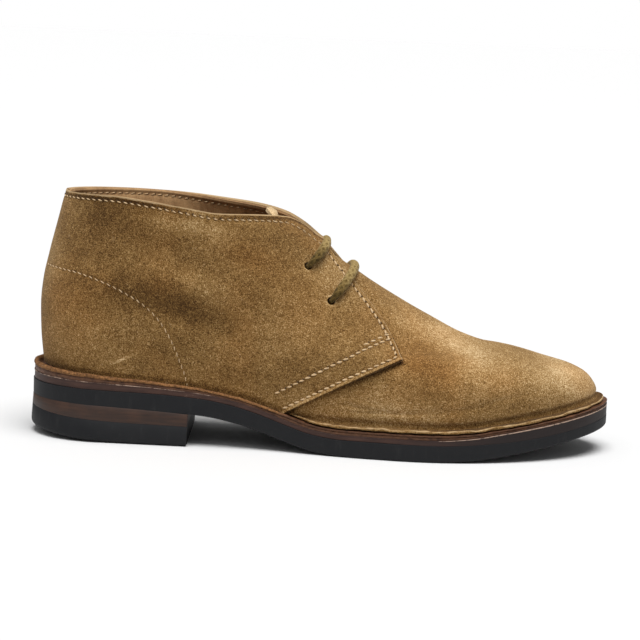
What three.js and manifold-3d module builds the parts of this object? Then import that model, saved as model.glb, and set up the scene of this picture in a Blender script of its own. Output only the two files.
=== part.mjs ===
// A man's two-eyelet suede chukka boot for the right foot, built up like the real one: a heel of two
// lifts, a rubber outsole, a leather midsole, a welt, an insole, a hollow upper (the vamp and the
// lining of the quarters as one wall, its front edge turned out on the welt), two outer quarters
// that stand proud of it, a tongue and a lace of two bars.
//
// Millimetres. +X points to the toe, +Y to the wearer's left (the inner side), +Z up. The origin is
// on the floor, under the middle of the heel. "s" is the distance ahead of the heel's back edge.
import * as THREE from "three";
import { mergeVertices } from "three/addons/utils/BufferGeometryUtils.js";
import Module from "manifold-3d";

const wasm = await Module();
wasm.setup();

// ---- driving sizes ----
const SOLE_LENGTH = 298.5;
const HEEL_CENTRE = 40; // s of the origin
const GAP = 0.3; // between pieces that touch
const SIDE_POINTS = 36; // points along one side of a closed loop

const OUTSOLE_THICKNESS = 8.6;
const SOLE_BEVEL = 1.2;
const HEEL_LENGTH = 82; // back edge to breast, on the floor
const TOP_PIECE_HEIGHT = 10;
const HEEL_BREAST_RAKE = 2; // the breast leans forward by this over its height
const HEEL_TAPER = 0.8; // the floor outline is this much smaller
const LIFT_WEDGE = 1.2; // the top piece is this much higher at the back than at the breast

const WALL = 1.6; // vamp, and lining of the quarters
const QUARTER_THICKNESS = 1.4;
const FLANGE_THICKNESS = 1.3;
const FLANGE_WIDTH = 4.6;
const WELT_WIDTH = 9.4;
const WELT_SETBACK = 0.5; // the welt's edge lies this far inside the outsole's
const WELT_CHAMFER = { inward: 0.8, down: 0.6 };
const FEATHER_HEEL = 4; // sole edge to upper, at the back
const FEATHER_SIDE = 5.4; // sole edge to upper, along the sides
const FEATHER_BLEND = { from: 60, to: 150 }; // s where the one becomes the other
const TURN_OUT = { from: 128, to: 150 }; // s where the foot of the wall turns out on the welt
const SWELL = 2.2; // the wall bulges by this much above the sole,
const SWELL_HEIGHT = 46; // over this height
const SHAFT_BLEND = { from: 35, to: 85 }; // z where the foot's plan gives way to the shaft
const COLLAR_BLEND = { from: 60, to: 120 }; // z where the heel's round becomes the collar's

const EYELET_RADIUS = 2.1;
const LACE_RADIUS = 1.9;
const LACE_CLEARANCE = 0.3;

// Lines past every side of the boot, for the prisms that cut it.
const BEYOND = { behind: -20, ahead: 230, above: 150, across: 90 };

// ---- tables ----
// Plan of the sole: half-widths each side of the swing line, before the heel and toe are rounded.
const PLAN = [
  { s: 0, lateral: 33.5, medial: 33.5 },
  { s: 40, lateral: 34.2, medial: 34 },
  { s: 70, lateral: 35.4, medial: 33.2 },
  { s: 100, lateral: 36.6, medial: 29.8 },
  { s: 125, lateral: 39.6, medial: 28.6 },
  { s: 150, lateral: 45.4, medial: 32.4 },
  { s: 175, lateral: 51, medial: 41 },
  { s: 200, lateral: 54.6, medial: 46.6 },
  { s: 225, lateral: 55.2, medial: 47.6 },
  { s: 299, lateral: 55.2, medial: 47.6 },
];
const HEEL_ROUND = 36; // the heel takes this length to round off
const COLLAR_ROUND = 47; // the same at the top of the upper
const TOE_ROUND = 99;
const TOE_SWING = 5; // the toe's tip lies this far to the inner side
const SWING_BLEND = { from: 110, to: 300 };

// Side view of the sole: underside of the outsole, and thickness of the layers on it.
const SOLE_PROFILE = [
  { s: 0, under: 18.4, midsole: 4.2, welt: 4.3 },
  { s: 40, under: 18.0, midsole: 3.6, welt: 3.6 },
  { s: 70, under: 17.2, midsole: 3.0, welt: 3.0 },
  { s: 90, under: 15.8, midsole: 2.6, welt: 2.6 },
  { s: 106, under: 13.0, midsole: 2.4, welt: 2.6 },
  { s: 118, under: 9.8, midsole: 2.4, welt: 2.8 },
  { s: 132, under: 5.2, midsole: 2.4, welt: 3.2 },
  { s: 146, under: 1.4, midsole: 2.4, welt: 3.2 },
  { s: 160, under: 0, midsole: 2.4, welt: 3.2 },
  { s: 207, under: 0, midsole: 2.4, welt: 3.2 },
  { s: 225, under: 0.9, midsole: 2.4, welt: 3.2 },
  { s: 240, under: 2.9, midsole: 2.4, welt: 3.2 },
  { s: 257, under: 5.7, midsole: 2.2, welt: 3.2 },
  { s: 276, under: 9.3, midsole: 1.8, welt: 3.2 },
  { s: 298.5, under: 13.6, midsole: 1.4, welt: 3.2 },
];

// Side view of the upper, by height: the back curve, and the crest from the toe up to the ankle.
const BACK_CURVE = [
  { z: 10, s: 8.6 },
  { z: 34, s: 7.0 },
  { z: 54, s: 5.1 },
  { z: 67, s: 4.7 },
  { z: 79, s: 5.7 },
  { z: 92, s: 8.3 },
  { z: 105, s: 11.2 },
  { z: 117, s: 14.1 },
  { z: 125, s: 16.3 },
  { z: 140, s: 20.4 },
];
const CREST = [
  { z: 10, s: 292.6 },
  { z: 27, s: 293 },
  { z: 32, s: 292.4 },
  { z: 35.5, s: 290.6 },
  { z: 39.5, s: 287 },
  { z: 43.4, s: 279.5 },
  { z: 46.8, s: 267 },
  { z: 49.6, s: 256 },
  { z: 51.5, s: 245 },
  { z: 53.2, s: 235.5 },
  { z: 57.4, s: 223.5 },
  { z: 66.3, s: 204.5 },
  { z: 73.4, s: 191 },
  { z: 87, s: 168 },
  { z: 94.1, s: 158.5 },
  { z: 102, s: 148.5 },
  { z: 108, s: 142 },
  { z: 113, s: 135 },
  { z: 118, s: 127.5 },
  { z: 122, s: 119 },
  { z: 128, s: 106 },
];
// The shaft, by height: half-width at the ankle, and how long the front takes to round off.
const SHAFT = [
  { z: 20, width: 31.5, front: 96 },
  { z: 40, width: 33, front: 104 },
  { z: 60, width: 34, front: 96 },
  { z: 76, width: 34.2, front: 84 },
  { z: 95, width: 31.4, front: 68 },
  { z: 117, width: 30.4, front: 56 },
  { z: 130, width: 31, front: 54 },
];
// Topline of each side, from the back to the throat.
const TOPLINE = [
  { s: 10, lateral: 124.4, medial: 124.8 },
  { s: 24, lateral: 124.4, medial: 124.8 },
  { s: 40, lateral: 123.6, medial: 124.4 },
  { s: 60, lateral: 121.4, medial: 123.6 },
  { s: 78, lateral: 119.0, medial: 122.2 },
  { s: 94, lateral: 117.0, medial: 120.8 },
  { s: 114, lateral: 116.6, medial: 118.6 },
  { s: 127, lateral: 115.2, medial: 115.8 },
  { s: 136, lateral: 111.2, medial: 111.4 },
  { s: 143, lateral: 106, medial: 106 },
  { s: 150, lateral: 101, medial: 101 },
];
// Front edge of a quarter, by height: the seam across the vamp up to its corner, then the facing.
const CORNER = { z: 48.5, s: 189 };
const SEAM = [
  { z: 22.2, s: 136 },
  { z: 29.6, s: 149 },
  { z: 37.2, s: 163 },
  { z: 44.4, s: 178.5 },
  CORNER,
];
const FACING = [
  CORNER,
  { z: 56, s: 185 },
  { z: 65, s: 179.5 },
  { z: 75.5, s: 171 },
  { z: 82.8, s: 164.5 },
  { z: 90.3, s: 158 },
  { z: 97.7, s: 151.5 },
  { z: 104, s: 146.5 },
  { z: 112, s: 140 },
];
const TONGUE_TIP = [
  { z: 110, s: 130.5 },
  { z: 116, s: 124 },
  { z: 121.5, s: 118.5 },
];
const THROAT_HEIGHT = 78; // the vamp ends and the tongue starts here
const TONGUE_UNDERLAP = 10; // the tongue's edges run this far behind the facings
const EYELETS = [
  { name: "lower", s: 152.2, z: 75.6 },
  { name: "upper", s: 139.8, z: 92.2 },
];

// ---- small maths ----
const mix = (a, b, t) => a + (b - a) * t;
const clamp01 = (t) => Math.min(1, Math.max(0, t));
const ease = (t) => clamp01(t) ** 2 * (3 - 2 * clamp01(t));
const blend = (at, { from, to }) => ease((at - from) / (to - from));
// A quarter of a round end: 0 at its tip, 1 where it meets the full width.
const rounded = (t) => Math.sqrt(clamp01(t) * (2 - clamp01(t)));

// A smooth curve through a table's rows that never overshoots them.
function through(rows, from, to) {
  const x = rows.map((row) => row[from]);
  const y = rows.map((row) => row[to]);
  const secant = x.slice(1).map((_, i) => (y[i + 1] - y[i]) / (x[i + 1] - x[i]));
  const slope = x.map((_, i) => {
    if (i === 0) return secant[0];
    if (i === secant.length) return secant[i - 1];
    const [a, b] = [secant[i - 1], secant[i]];
    return a * b > 0 ? (2 * a * b) / (a + b) : 0;
  });
  return (at) => {
    if (at <= x[0]) return y[0];
    if (at >= x.at(-1)) return y.at(-1);
    const i = x.findIndex((value) => value > at) - 1;
    const h = x[i + 1] - x[i];
    const t = (at - x[i]) / h;
    return (
      y[i] * (1 + 2 * t) * (1 - t) ** 2 + y[i + 1] * t * t * (3 - 2 * t) +
      h * slope[i] * t * (1 - t) ** 2 - h * slope[i + 1] * t * t * (1 - t)
    );
  };
}

const planWidth = { lateral: through(PLAN, "s", "lateral"), medial: through(PLAN, "s", "medial") };
const topline = {
  lateral: through(TOPLINE, "s", "lateral"),
  medial: through(TOPLINE, "s", "medial"),
};
const under = through(SOLE_PROFILE, "s", "under");
const midsoleThickness = through(SOLE_PROFILE, "s", "midsole");
const weltThickness = through(SOLE_PROFILE, "s", "welt");
const backCurve = through(BACK_CURVE, "z", "s");
const crest = through(CREST, "z", "s");
const shaftWidth = through(SHAFT, "z", "width");
const frontRound = through(SHAFT, "z", "front");
const facing = through(FACING, "z", "s");

const outsoleTop = (s) => under(s) + OUTSOLE_THICKNESS;
const midsoleTop = (s) => outsoleTop(s) + midsoleThickness(s);
const weltTop = (s) => midsoleTop(s) + weltThickness(s);
const swing = (s) => TOE_SWING * blend(s, SWING_BLEND);

// ---- one builder for every lofted piece ----
// Loops of equal length are skinned in order, each quad split on its shorter diagonal. Point j of
// a loop faces point n-1-j across it, so the first and last loops are closed by a strip of quads; a
// ring joins its last loop to its first.
function lofted(loops, { ring = false } = {}) {
  const n = loops[0].length;
  const points = loops.flat();
  const index = [];
  const quad = (a, b, c, d) => {
    const shorter = points[a].distanceTo(points[c]) < points[b].distanceTo(points[d]);
    index.push(...(shorter ? [a, b, c, a, c, d] : [a, b, d, b, c, d]));
  };
  const bands = ring ? loops.length : loops.length - 1;
  for (let k = 0; k < bands; k++) {
    const low = k * n;
    const high = ((k + 1) % loops.length) * n;
    for (let j = 0; j < n; j++) {
      const next = (j + 1) % n;
      quad(low + j, low + next, high + next, high + j);
    }
  }
  if (!ring) {
    const top = (loops.length - 1) * n;
    for (let j = 0; j < n / 2 - 1; j++) {
      quad(n - 1 - j, n - 2 - j, j + 1, j);
      quad(top + j, top + j + 1, top + n - 2 - j, top + n - 1 - j);
    }
  }
  const geometry = new THREE.BufferGeometry();
  const position = new Float32Array(points.flatMap((p) => [p.x, p.y, p.z]));
  geometry.setAttribute("position", new THREE.BufferAttribute(position, 3));
  geometry.setIndex(index);
  geometry.computeVertexNormals();
  return geometry;
}

function toSolid(geometry) {
  const bare = geometry.clone();
  bare.deleteAttribute("normal");
  bare.deleteAttribute("uv");
  const merged = mergeVertices(bare, 1e-3);
  return new wasm.Manifold(
    new wasm.Mesh({
      numProp: 3,
      vertProperties: merged.attributes.position.array,
      triVerts: new Uint32Array(merged.index.array),
    }),
  );
}

// The geometry less its cutters and, where a keeper is given, only what lies inside that.
function cut(geometry, cutters, keeper) {
  const start = keeper ? toSolid(geometry).intersect(toSolid(keeper)) : toSolid(geometry);
  const solid = cutters.reduce((left, cutter) => left.subtract(toSolid(cutter)), start);
  const mesh = solid.getMesh();
  const result = new THREE.BufferGeometry();
  result.setAttribute("position", new THREE.BufferAttribute(mesh.vertProperties, 3));
  result.setIndex(new THREE.BufferAttribute(mesh.triVerts, 1));
  result.computeVertexNormals();
  return result;
}

// ---- sole ----
// A point of the sole's outline. angle runs from -PI (toe) by 0 (back of the heel) to PI (toe), and
// is negative on the lateral side.
function solePoint(angle) {
  const side = angle < 0 ? "lateral" : "medial";
  const s = (SOLE_LENGTH * (1 - Math.cos(angle))) / 2;
  const ends = rounded(s / HEEL_ROUND) * rounded((SOLE_LENGTH - s) / TOE_ROUND);
  return new THREE.Vector2(s, swing(s) + Math.sign(angle) * planWidth[side](s) * ends);
}

// The outline moved inwards, from the back along the lateral side and back along the medial one.
// It ends at the toe, or square across at a nearer reach.
function soleLoop(inset, height, reach = SOLE_LENGTH) {
  const last = Math.acos(1 - (2 * reach) / SOLE_LENGTH);
  const count = reach < SOLE_LENGTH ? SIDE_POINTS - 0.5 : SIDE_POINTS;
  const angles = Array.from({ length: SIDE_POINTS }, (_, j) => (last * (j + 0.5)) / count);
  const step = 0.02;
  const point = (angle) => {
    const p = solePoint(angle);
    const along = solePoint(angle + step).sub(solePoint(angle - step)).normalize();
    const x = p.x + along.y * inset;
    return new THREE.Vector3(Math.min(x, reach), p.y - along.x * inset, height(x));
  };
  return [...angles.map((a) => point(-a)), ...angles.toReversed().map((a) => point(a))];
}

function makeOutsole() {
  return lofted([
    soleLoop(SOLE_BEVEL, under),
    soleLoop(0, (s) => under(s) + SOLE_BEVEL),
    soleLoop(0, outsoleTop),
  ]);
}

function makeMidsole() {
  return lofted([
    soleLoop(WELT_SETBACK, (s) => outsoleTop(s) + GAP),
    soleLoop(WELT_SETBACK, midsoleTop),
  ]);
}

function makeWelt() {
  const low = (s) => midsoleTop(s) + GAP;
  return lofted(
    [
      soleLoop(WELT_WIDTH, low),
      soleLoop(WELT_SETBACK, low),
      soleLoop(WELT_SETBACK, (s) => weltTop(s) - WELT_CHAMFER.down),
      soleLoop(WELT_SETBACK + WELT_CHAMFER.inward, weltTop),
      soleLoop(WELT_WIDTH, weltTop),
    ],
    { ring: true },
  );
}

function makeInsole() {
  const inset = WELT_WIDTH + 2 * GAP;
  return lofted([
    soleLoop(inset, (s) => midsoleTop(s) + GAP),
    soleLoop(inset, (s) => weltTop(s) + GAP),
  ]);
}

// A lift of the heel. Its breast stands at the heel's length on the floor and rakes forward.
function makeHeelLift(low, high) {
  const stackHeight = under(HEEL_LENGTH);
  const loop = (height, inset) => {
    const share = height(HEEL_LENGTH) / stackHeight;
    const reach = HEEL_LENGTH + HEEL_BREAST_RAKE * share;
    return soleLoop(inset + HEEL_TAPER * (1 - share), height, reach);
  };
  const bottom = low(0) === 0 ? [loop(low, SOLE_BEVEL), loop(() => SOLE_BEVEL, 0)] : [loop(low, 0)];
  return lofted([...bottom, loop(high, 0)]);
}

// ---- upper ----
// v is 0 where the wall leaves the sole and 1 at the topline, which runs on level ahead of the throat.
const wallFoot = (s) => weltTop(s) + GAP;
const wallStart = (s) => wallFoot(s) + mix(GAP, FLANGE_THICKNESS, blend(s, TURN_OUT));
const levelHeight = (side, s, v) => mix(wallStart(s), topline[side](s), v);

function halfWidth(side, s, z) {
  const foot = planWidth[side](s) - mix(FEATHER_HEEL, FEATHER_SIDE, blend(s, FEATHER_BLEND));
  const swell = SWELL * Math.sin(Math.PI * clamp01((z - wallFoot(s)) / SWELL_HEIGHT));
  const wide = mix(foot + swell, shaftWidth(z), blend(z, SHAFT_BLEND));
  const backRound = mix(HEEL_ROUND, COLLAR_ROUND, blend(z, COLLAR_BLEND));
  const back = rounded((s - backCurve(z)) / backRound);
  return wide * back * rounded((crest(z) - s) / frontRound(z));
}

// Where a level meets the back curve and the crest.
const levelEnds = new Map();
function endsOf(side, v) {
  const key = `${side} ${v.toFixed(5)}`;
  if (!levelEnds.has(key)) {
    const meet = (curve, low, high) => {
      for (let i = 0; i < 40; i++) {
        const middle = (low + high) / 2;
        if (curve(levelHeight(side, middle, v)) > middle) low = middle;
        else high = middle;
      }
      return (low + high) / 2;
    };
    levelEnds.set(key, [meet(backCurve, 0, 30), meet(crest, 100, SOLE_LENGTH)]);
  }
  return levelEnds.get(key);
}

// A point of the upper's outer face. angle runs as on the sole's outline.
function facePoint(angle, v) {
  const turned = Math.abs(angle) > Math.PI ? angle - Math.sign(angle) * 2 * Math.PI : angle;
  const side = turned < 0 ? "lateral" : "medial";
  const [back, front] = endsOf(side, v);
  const s = mix(back, front, (1 - Math.cos(turned)) / 2);
  const z = levelHeight(side, s, v);
  return new THREE.Vector3(s, swing(s) + Math.sign(turned) * halfWidth(side, s, z), z);
}

function faceNormal(angle, v) {
  const [du, dv] = [0.04, 0.01];
  const around = facePoint(angle + du, v).sub(facePoint(angle - du, v));
  const up = facePoint(angle, v + dv).sub(facePoint(angle, Math.max(0, v - dv)));
  return around.cross(up).normalize().negate();
}

const lifted = (angle, v, lift) => facePoint(angle, v).addScaledVector(faceNormal(angle, v), lift);

// The same, from a place in the side view.
function placeOn(side, s, z) {
  const v = (z - wallStart(s)) / (topline[side](s) - wallStart(s));
  const [back, front] = endsOf(side, v);
  const angle = Math.acos(1 - 2 * clamp01((s - back) / (front - back)));
  return [side === "lateral" ? -angle : angle, v];
}

const LEVELS = [0, 0.07, 0.15, 0.25, 0.36, 0.48, 0.6, 0.72, 0.83, 0.92, 1];
const AROUND = Array.from({ length: 2 * SIDE_POINTS }, (_, j) => {
  const turn = j < SIDE_POINTS ? j + 0.5 : j - 2 * SIDE_POINTS + 0.5;
  return (-Math.PI * turn) / SIDE_POINTS;
});
const wallLoops = (lift, levels = LEVELS) =>
  levels.map((v) => AROUND.map((angle) => lifted(angle, v, lift)));

// A prism across the boot, from a closed outline in the side view, between two depths.
function sidePrism(outline, from, to) {
  const shape = new THREE.Shape(outline.map(([s, z]) => new THREE.Vector2(s, z)));
  const prism = new THREE.ExtrudeGeometry(shape, { depth: to - from, bevelEnabled: false });
  return prism.rotateX(Math.PI / 2).translate(0, to, 0);
}

// What the tongue takes up: all that lies ahead of a line behind the facings, above the vamp. The
// slot in the upper is larger than the tongue by a gap all round.
function tonguePrism(gap) {
  const topOfFacing = FACING.at(-2).z;
  const heights = [0, 0.2, 0.4, 0.6, 0.8, 1].map((t) => mix(THROAT_HEIGHT, topOfFacing, t));
  const back = heights.map((z) => [facing(z) - TONGUE_UNDERLAP + gap, z]);
  back[0][1] += gap;
  const tip = TONGUE_TIP.map((row) => [row.s, row.z]);
  const front = [BEYOND.ahead, THROAT_HEIGHT + gap];
  const top = [BEYOND.ahead, BEYOND.above];
  return sidePrism([front, ...back, ...tip, top], -BEYOND.across, BEYOND.across);
}

function eyeletCutters() {
  return EYELETS.flatMap((eyelet) =>
    ["lateral", "medial"].map((side) => {
      const [angle, v] = placeOn(side, eyelet.s, eyelet.z);
      const hole = new THREE.CylinderGeometry(EYELET_RADIUS, EYELET_RADIUS, 12, 12);
      const turn = new THREE.Quaternion();
      turn.setFromUnitVectors(new THREE.Vector3(0, 1, 0), faceNormal(angle, v));
      const centre = facePoint(angle, v);
      return hole.applyQuaternion(turn).translate(centre.x, centre.y, centre.z);
    }),
  );
}

function makeUpper() {
  const outer = wallLoops(0);
  const inner = wallLoops(-WALL);
  const flange = (height) =>
    AROUND.map((angle) => {
      const point = facePoint(angle, 0);
      const width = mix(GAP / 2, FLANGE_WIDTH, blend(point.x, TURN_OUT));
      point.addScaledVector(faceNormal(angle, 0).setZ(0).normalize(), width);
      return point.setZ(mix(wallFoot(point.x), wallStart(point.x), height));
    });
  const innerFoot = inner[0].map((p) => new THREE.Vector3(p.x, p.y, wallFoot(p.x)));
  const body = lofted([innerFoot, flange(0), flange(0.9), ...outer, ...inner.toReversed()], {
    ring: true,
  });
  return cut(body, [tonguePrism(0), ...eyeletCutters()]);
}

// A quarter is a second wall laid on the upper, from the back seam to its seam and facing.
function makeQuarter(side) {
  const wall = lofted(
    [...wallLoops(GAP + QUARTER_THICKNESS), ...wallLoops(GAP).toReversed()],
    { ring: true },
  );
  // Below its foot up to the waist, then clear of the turned-out flange.
  const clearOfFlange = { from: TURN_OUT.from - 20, to: TURN_OUT.from - 4 };
  const lowerEdge = Array.from({ length: 14 }, (_, i) => {
    const s = mix(0, SEAM[0].s - 4, i / 13);
    return [s, wallStart(s) + mix(-2, GAP, blend(s, clearOfFlange))];
  });
  const frontEdge = [...SEAM, ...FACING.slice(1)].map((row) => [row.s, row.z]);
  const outline = [
    [BEYOND.behind, lowerEdge[0][1]],
    ...lowerEdge,
    ...frontEdge,
    [FACING.at(-1).s, BEYOND.above],
    [BEYOND.behind, BEYOND.above],
  ];
  const span = side === "lateral" ? [-BEYOND.across, -GAP / 2] : [GAP / 2, BEYOND.across];
  return cut(wall, eyeletCutters(), sidePrism(outline, ...span));
}

// The tongue carries the vamp's surface on, under the facings and up past the topline.
function makeTongue() {
  const levels = [...LEVELS.filter((v) => v > 0.4), 1.06, 1.14];
  const wall = lofted([...wallLoops(0, levels), ...wallLoops(-WALL, levels).toReversed()], {
    ring: true,
  });
  return cut(wall, [], tonguePrism(GAP));
}

// Where the crest is straight across the instep from an eyelet.
function crestAcross({ s, z }) {
  const step = 0.25;
  const candidates = Array.from({ length: 100 }, (_, i) => z + i * step);
  const misses = candidates.map((height) => {
    const slope = (crest(height + step) - crest(height - step)) / (2 * step);
    return Math.abs((crest(height) - s) * slope + height - z);
  });
  const height = candidates[misses.indexOf(Math.min(...misses))];
  return { s: crest(height), z: height };
}

// One bar of the lace, from eyelet to eyelet over the facings and the tongue.
function makeLaceBar(eyelet) {
  const lift = GAP + QUARTER_THICKNESS + LACE_RADIUS + LACE_CLEARANCE;
  const middle = crestAcross(eyelet);
  const shares = [0, 0.3, 0.6, 0.85]; // of the way from an eyelet to the crest
  const halfPath = (side) =>
    shares.map((t) => {
      const [angle, v] = placeOn(side, mix(eyelet.s, middle.s, t), mix(eyelet.z, middle.z, t));
      return lifted(angle, v, lift);
    });
  const top = lifted(...placeOn("lateral", middle.s, middle.z), lift);
  const path = new THREE.CatmullRomCurve3([
    ...halfPath("lateral"),
    top,
    ...halfPath("medial").toReversed(),
  ]);
  const section = new THREE.Shape().absarc(0, 0, LACE_RADIUS, 0, 2 * Math.PI);
  return new THREE.ExtrudeGeometry(section, { steps: 18, curveSegments: 4, extrudePath: path });
}

// ---- assembly ----
const finish = (color, roughness) => new THREE.MeshStandardMaterial({ color, roughness });
const suede = finish(0x8a6a3c, 0.95);
const blackRubber = finish(0x26272a, 0.6);
const brownLeather = finish(0x5b3a2b, 0.6);
const weltLeather = finish(0x7a4a28, 0.7);
const tanLeather = finish(0xa67c4e, 0.7);
const laceCord = finish(0x5f4d22, 0.9);

const boot = new THREE.Group();
const add = (name, geometry, material) => {
  const mesh = new THREE.Mesh(geometry, material);
  mesh.name = name;
  boot.add(mesh);
};

const liftTop = (s) => under(s) - GAP;
const liftBottom = (s) => TOP_PIECE_HEIGHT + GAP + LIFT_WEDGE * (1 - clamp01(s / HEEL_LENGTH));
add("heel_top_piece", makeHeelLift(() => 0, (s) => liftBottom(s) - GAP), blackRubber);
add("heel_lift", makeHeelLift(liftBottom, liftTop), brownLeather);
add("outsole", makeOutsole(), blackRubber);
add("midsole", makeMidsole(), brownLeather);
add("welt", makeWelt(), weltLeather);
add("insole", makeInsole(), tanLeather);
add("upper", makeUpper(), suede);
add("quarter_lateral", makeQuarter("lateral"), suede);
add("quarter_medial", makeQuarter("medial"), suede);
add("tongue", makeTongue(), suede);
for (const eyelet of EYELETS) add(`lace_bar_${eyelet.name}`, makeLaceBar(eyelet), laceCord);
boot.position.x = -HEEL_CENTRE;

export default boot;
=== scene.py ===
"""A man's two-eyelet suede chukka boot for the right foot, put together as a bootmaker would.

Sizes are in millimetres until a mesh is made. X runs to the toe, Y to the wearer's left, which is
the inner side, and Z up. "s" is the distance ahead of the heel's back edge, so X is s less 40.
"""

import math

import bpy
import numpy as np
from mathutils import Matrix, Vector


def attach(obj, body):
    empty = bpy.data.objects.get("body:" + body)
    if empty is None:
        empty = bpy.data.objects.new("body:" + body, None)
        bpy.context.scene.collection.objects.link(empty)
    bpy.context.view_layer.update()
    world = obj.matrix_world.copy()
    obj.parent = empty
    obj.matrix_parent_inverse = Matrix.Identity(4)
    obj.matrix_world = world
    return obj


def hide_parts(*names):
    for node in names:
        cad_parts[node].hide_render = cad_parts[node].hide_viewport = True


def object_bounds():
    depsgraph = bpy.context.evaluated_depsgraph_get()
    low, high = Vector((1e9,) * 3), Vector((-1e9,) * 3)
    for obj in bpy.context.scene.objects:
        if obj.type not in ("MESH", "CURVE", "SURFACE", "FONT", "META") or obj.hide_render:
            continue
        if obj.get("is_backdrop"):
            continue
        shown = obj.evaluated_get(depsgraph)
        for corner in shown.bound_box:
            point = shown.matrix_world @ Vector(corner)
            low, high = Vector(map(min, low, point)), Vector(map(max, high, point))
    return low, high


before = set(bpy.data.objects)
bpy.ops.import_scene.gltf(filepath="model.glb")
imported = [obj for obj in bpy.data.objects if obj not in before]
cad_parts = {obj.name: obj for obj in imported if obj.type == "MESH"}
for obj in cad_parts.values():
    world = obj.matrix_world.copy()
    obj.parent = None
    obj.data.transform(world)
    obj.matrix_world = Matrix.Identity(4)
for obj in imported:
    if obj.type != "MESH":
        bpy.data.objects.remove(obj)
cad_low, cad_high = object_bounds()
MM = 0.001

# ---- Camera ----
# It stands a metre off the outer side, abreast of the lace, and looks a little down on the boot.
CAMERA_PLACE = (107.2, -1036, 209.2)
CAMERA_DIP = 0.141
CAMERA_ROLL = 0.0397
CAMERA_LENS = 113.74

camera_data = bpy.data.cameras.new("camera")
camera_data.lens = CAMERA_LENS
camera_data.clip_end = 200
camera = bpy.data.objects.new("camera", camera_data)
level_view = Matrix.Rotation(math.pi / 2 - CAMERA_DIP, 4, "X")
roll = Matrix.Rotation(CAMERA_ROLL, 4, "Z")
camera.matrix_world = Matrix.Translation(Vector(CAMERA_PLACE) * MM) @ level_view @ roll
bpy.context.scene.collection.objects.link(camera)
bpy.context.scene.camera = camera

# ---- Studio ----
# A white floor under one broad soft light overhead and a weaker one in front of the outer side.
FLOOR_SIZE = 160.0
SKY = 0.27
OVERHEAD = {"place": (0.08, -0.24, 1.0), "spread": 42, "power": 3.75}
FRONT = {"place": (-0.5, -0.8, 1.1), "spread": 40, "power": 0.25}


def soft_light(name, place, spread, power):
    """A distant light, spread in degrees, that shines on the boot from a place."""
    lamp = bpy.data.lights.new(name, "SUN")
    lamp.angle = math.radians(spread)
    lamp.energy = power
    light = bpy.data.objects.new(name, lamp)
    turn = (-Vector(place)).to_track_quat("-Z", "Y").to_matrix().to_4x4()
    light.matrix_world = Matrix.Translation(place) @ turn
    bpy.context.scene.collection.objects.link(light)


soft_light("overhead_light", **OVERHEAD)
soft_light("front_light", **FRONT)

world = bpy.data.worlds.new("studio")
world.use_nodes = True
sky_nodes, sky_links = world.node_tree.nodes, world.node_tree.links
sky_nodes.clear()
backdrop = sky_nodes.new("ShaderNodeBackground")
room = sky_nodes.new("ShaderNodeBackground")
room.inputs["Strength"].default_value = SKY
seen = sky_nodes.new("ShaderNodeLightPath")
either = sky_nodes.new("ShaderNodeMixShader")
out = sky_nodes.new("ShaderNodeOutputWorld")
for shade in (backdrop, room):
    shade.inputs["Color"].default_value = (1, 1, 1, 1)
sky_links.new(seen.outputs["Is Camera Ray"], either.inputs[0])
sky_links.new(room.outputs[0], either.inputs[1])
sky_links.new(backdrop.outputs[0], either.inputs[2])
sky_links.new(either.outputs[0], out.inputs[0])
bpy.context.scene.world = world
bpy.context.scene.view_settings.view_transform = "Standard"

floor_mesh = bpy.data.meshes.new("floor")
half = FLOOR_SIZE / 2
floor_z = cad_low.z
corners = [(x, y, floor_z) for x, y in ((-half, -half), (half, -half), (half, half), (-half, half))]
floor_mesh.from_pydata(corners, [], [(0, 1, 2, 3)])
floor = bpy.data.objects.new("floor", floor_mesh)
floor_paint = bpy.data.materials.new("floor_paint")
floor_paint.use_nodes = True
floor_shader = floor_paint.node_tree.nodes["Principled BSDF"]
floor_shader.inputs["Base Color"].default_value = (0.7, 0.7, 0.7, 1)
floor_shader.inputs["Roughness"].default_value = 0.9
floor_mesh.materials.append(floor_paint)
bpy.context.scene.collection.objects.link(floor)
floor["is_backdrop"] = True

# ---- Heel ----
# A black rubber top piece on the floor and one brown leather lift on it, both cut to the outline
# of the sole and square across at the breast. Glued, with the edges sanded flush.
HEEL_CENTRE = 40
# Kept free between pieces that touch on the real boot.
GAP = 0.3
SOLE_LENGTH = 298.5
HEEL_LENGTH = 82
BREAST_RAKE = 0.5
HEEL_FLARE = 0.9
# The top piece's height at the breast, and how much higher it is at the back.
TOP_PIECE = 10
LIFT_WEDGE = 1.2
SIDES = {"lateral": -1, "medial": 1}


def columns(names, *rows):
    """A table of numbers, one named column for each name."""
    return dict(zip(names.split(), np.array(rows, float).T))


# Half-widths of the sole each side of the swing line, before the heel and toe are rounded.
SOLE_PLAN = columns(
    "s lateral medial",
    (0, 33.5, 33.5), (40, 34.2, 34), (70, 35.4, 33.2), (100, 36.6, 29.8), (125, 39.6, 28.6),
    (150, 45.4, 32.4), (175, 51, 41), (200, 54.6, 46.6), (225, 55.2, 47.6), (299, 55.2, 47.6),
)
HEEL_ROUND = 36
TOE_ROUND = 99
TOE_SWING = 5
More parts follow.
